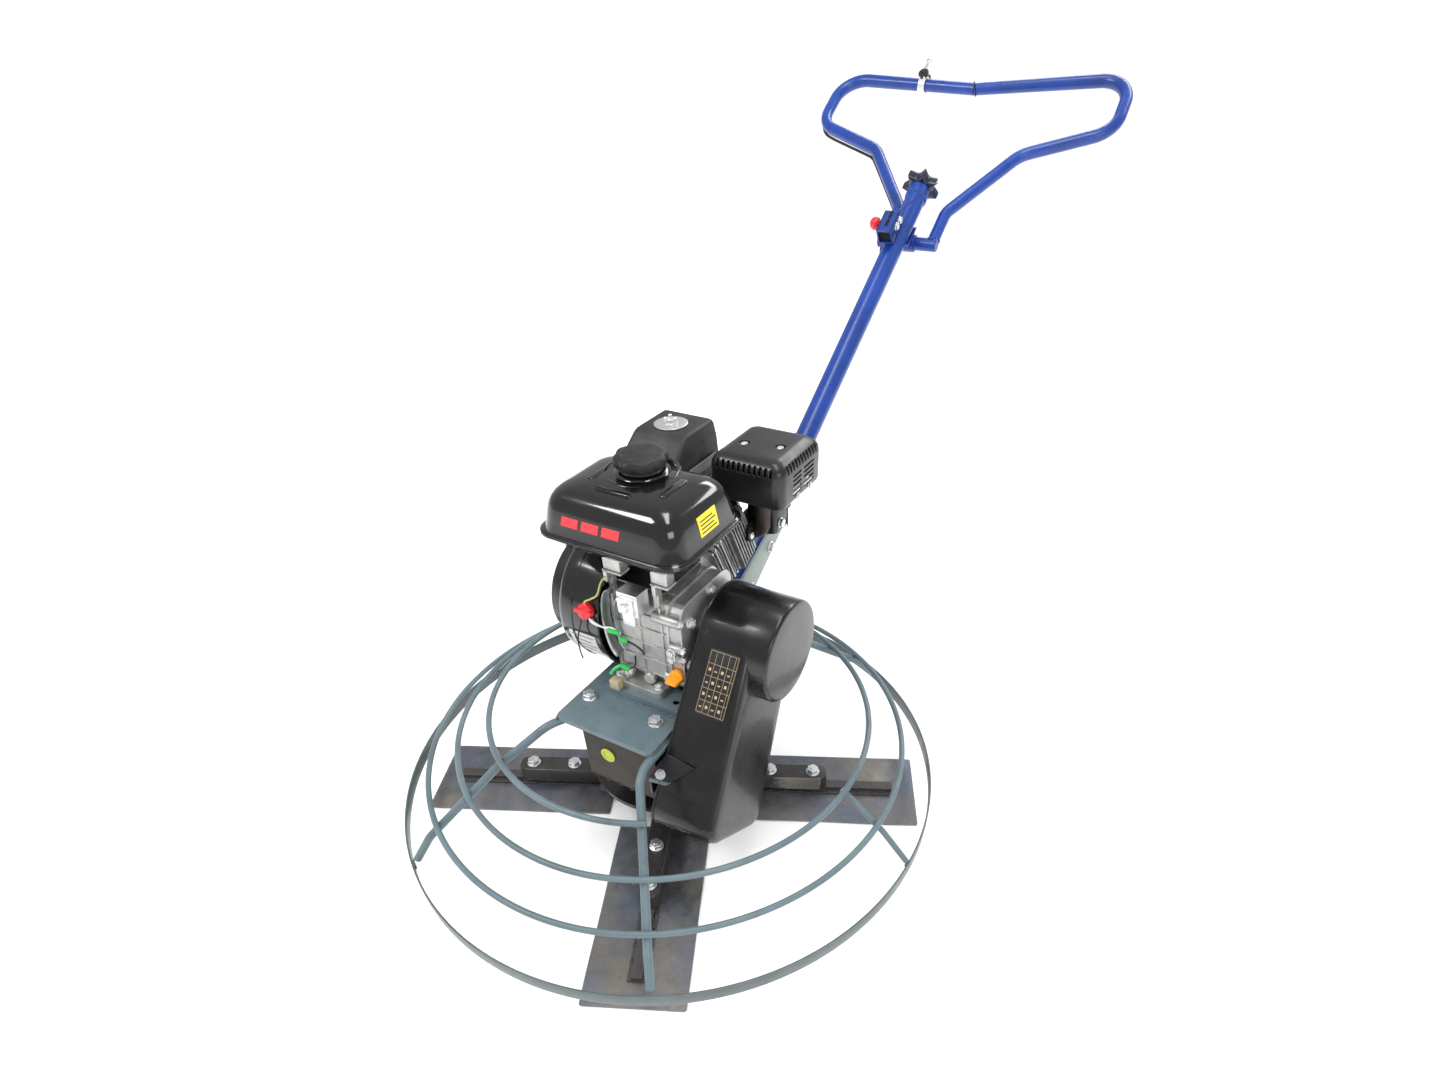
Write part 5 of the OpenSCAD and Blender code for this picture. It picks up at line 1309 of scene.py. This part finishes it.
world = bpy.data.worlds.new("studio")
bpy.context.scene.world = world
world.use_nodes = True
sky = world.node_tree.nodes["Background"]
sky.inputs["Color"].default_value = (1.0, 1.0, 1.0, 1)
# A bright room, and dimmer in reflections so that black enamel stays black
ray = world.node_tree.nodes.new("ShaderNodeLightPath")
dim = world.node_tree.nodes.new("ShaderNodeMath")
dim.operation = "MULTIPLY_ADD"
dim.inputs[1].default_value, dim.inputs[2].default_value = -0.80, 1.3
world.node_tree.links.new(ray.outputs["Is Glossy Ray"], dim.inputs[0])
world.node_tree.links.new(dim.outputs[0], sky.inputs["Strength"])
bpy.context.scene.view_settings.view_transform = "Standard"


def lamp(name, where, target, size, power, color=(1, 1, 1)):
    data = bpy.data.lights.new(name, "AREA")
    data.shape, data.size, data.size_y, data.energy, data.color = "RECTANGLE", size[0], size[1], power, color
    o = bpy.data.objects.new(name, data)
    o.location = where
    o.rotation_euler = (Vector(target) - Vector(where)).to_track_quat("-Z", "Y").to_euler()
    bpy.context.scene.collection.objects.link(o)


lamp("key", (-1.6, -1.4, 3.2), (0, 0.1, 0.4), (0.9, 0.9), 48)
lamp("fill", (2.6, -1.6, 1.9), (0, 0.1, 0.4), (1.4, 1.0), 22, (1.0, 0.98, 0.95))
lamp("back strip", (0.4, 3.2, 2.6), (0, 0.3, 0.5), (3.0, 0.6), 46)
lamp("overhead", (0.3, 0.3, 3.4), (0.2, 0.2, 0.3), (2.2, 0.5), 30)

camera = bpy.data.cameras.new("camera")
cam = bpy.data.objects.new("camera", camera)
bpy.context.scene.collection.objects.link(cam)
yaw, pitch, roll = rad(32.1), rad(41.1), rad(-2.6)
fwd = Vector((-math.sin(yaw) * math.cos(pitch), math.cos(yaw) * math.cos(pitch), -math.sin(pitch)))
right = Vector((math.cos(yaw), math.sin(yaw), 0))
up = right.cross(fwd)
right, up = math.cos(roll) * right + math.sin(roll) * up, -math.sin(roll) * right + math.cos(roll) * up
m = Matrix((right, up, -fwd)).transposed().to_4x4()
m.translation = Vector((0.6702, -0.8239, 1.1410))
cam.matrix_world = m
camera.sensor_width, camera.lens = 36, 19.845
camera.shift_x, camera.shift_y = -0.0114, 0.1076
camera.clip_start = 0.01
bpy.context.scene.camera = cam
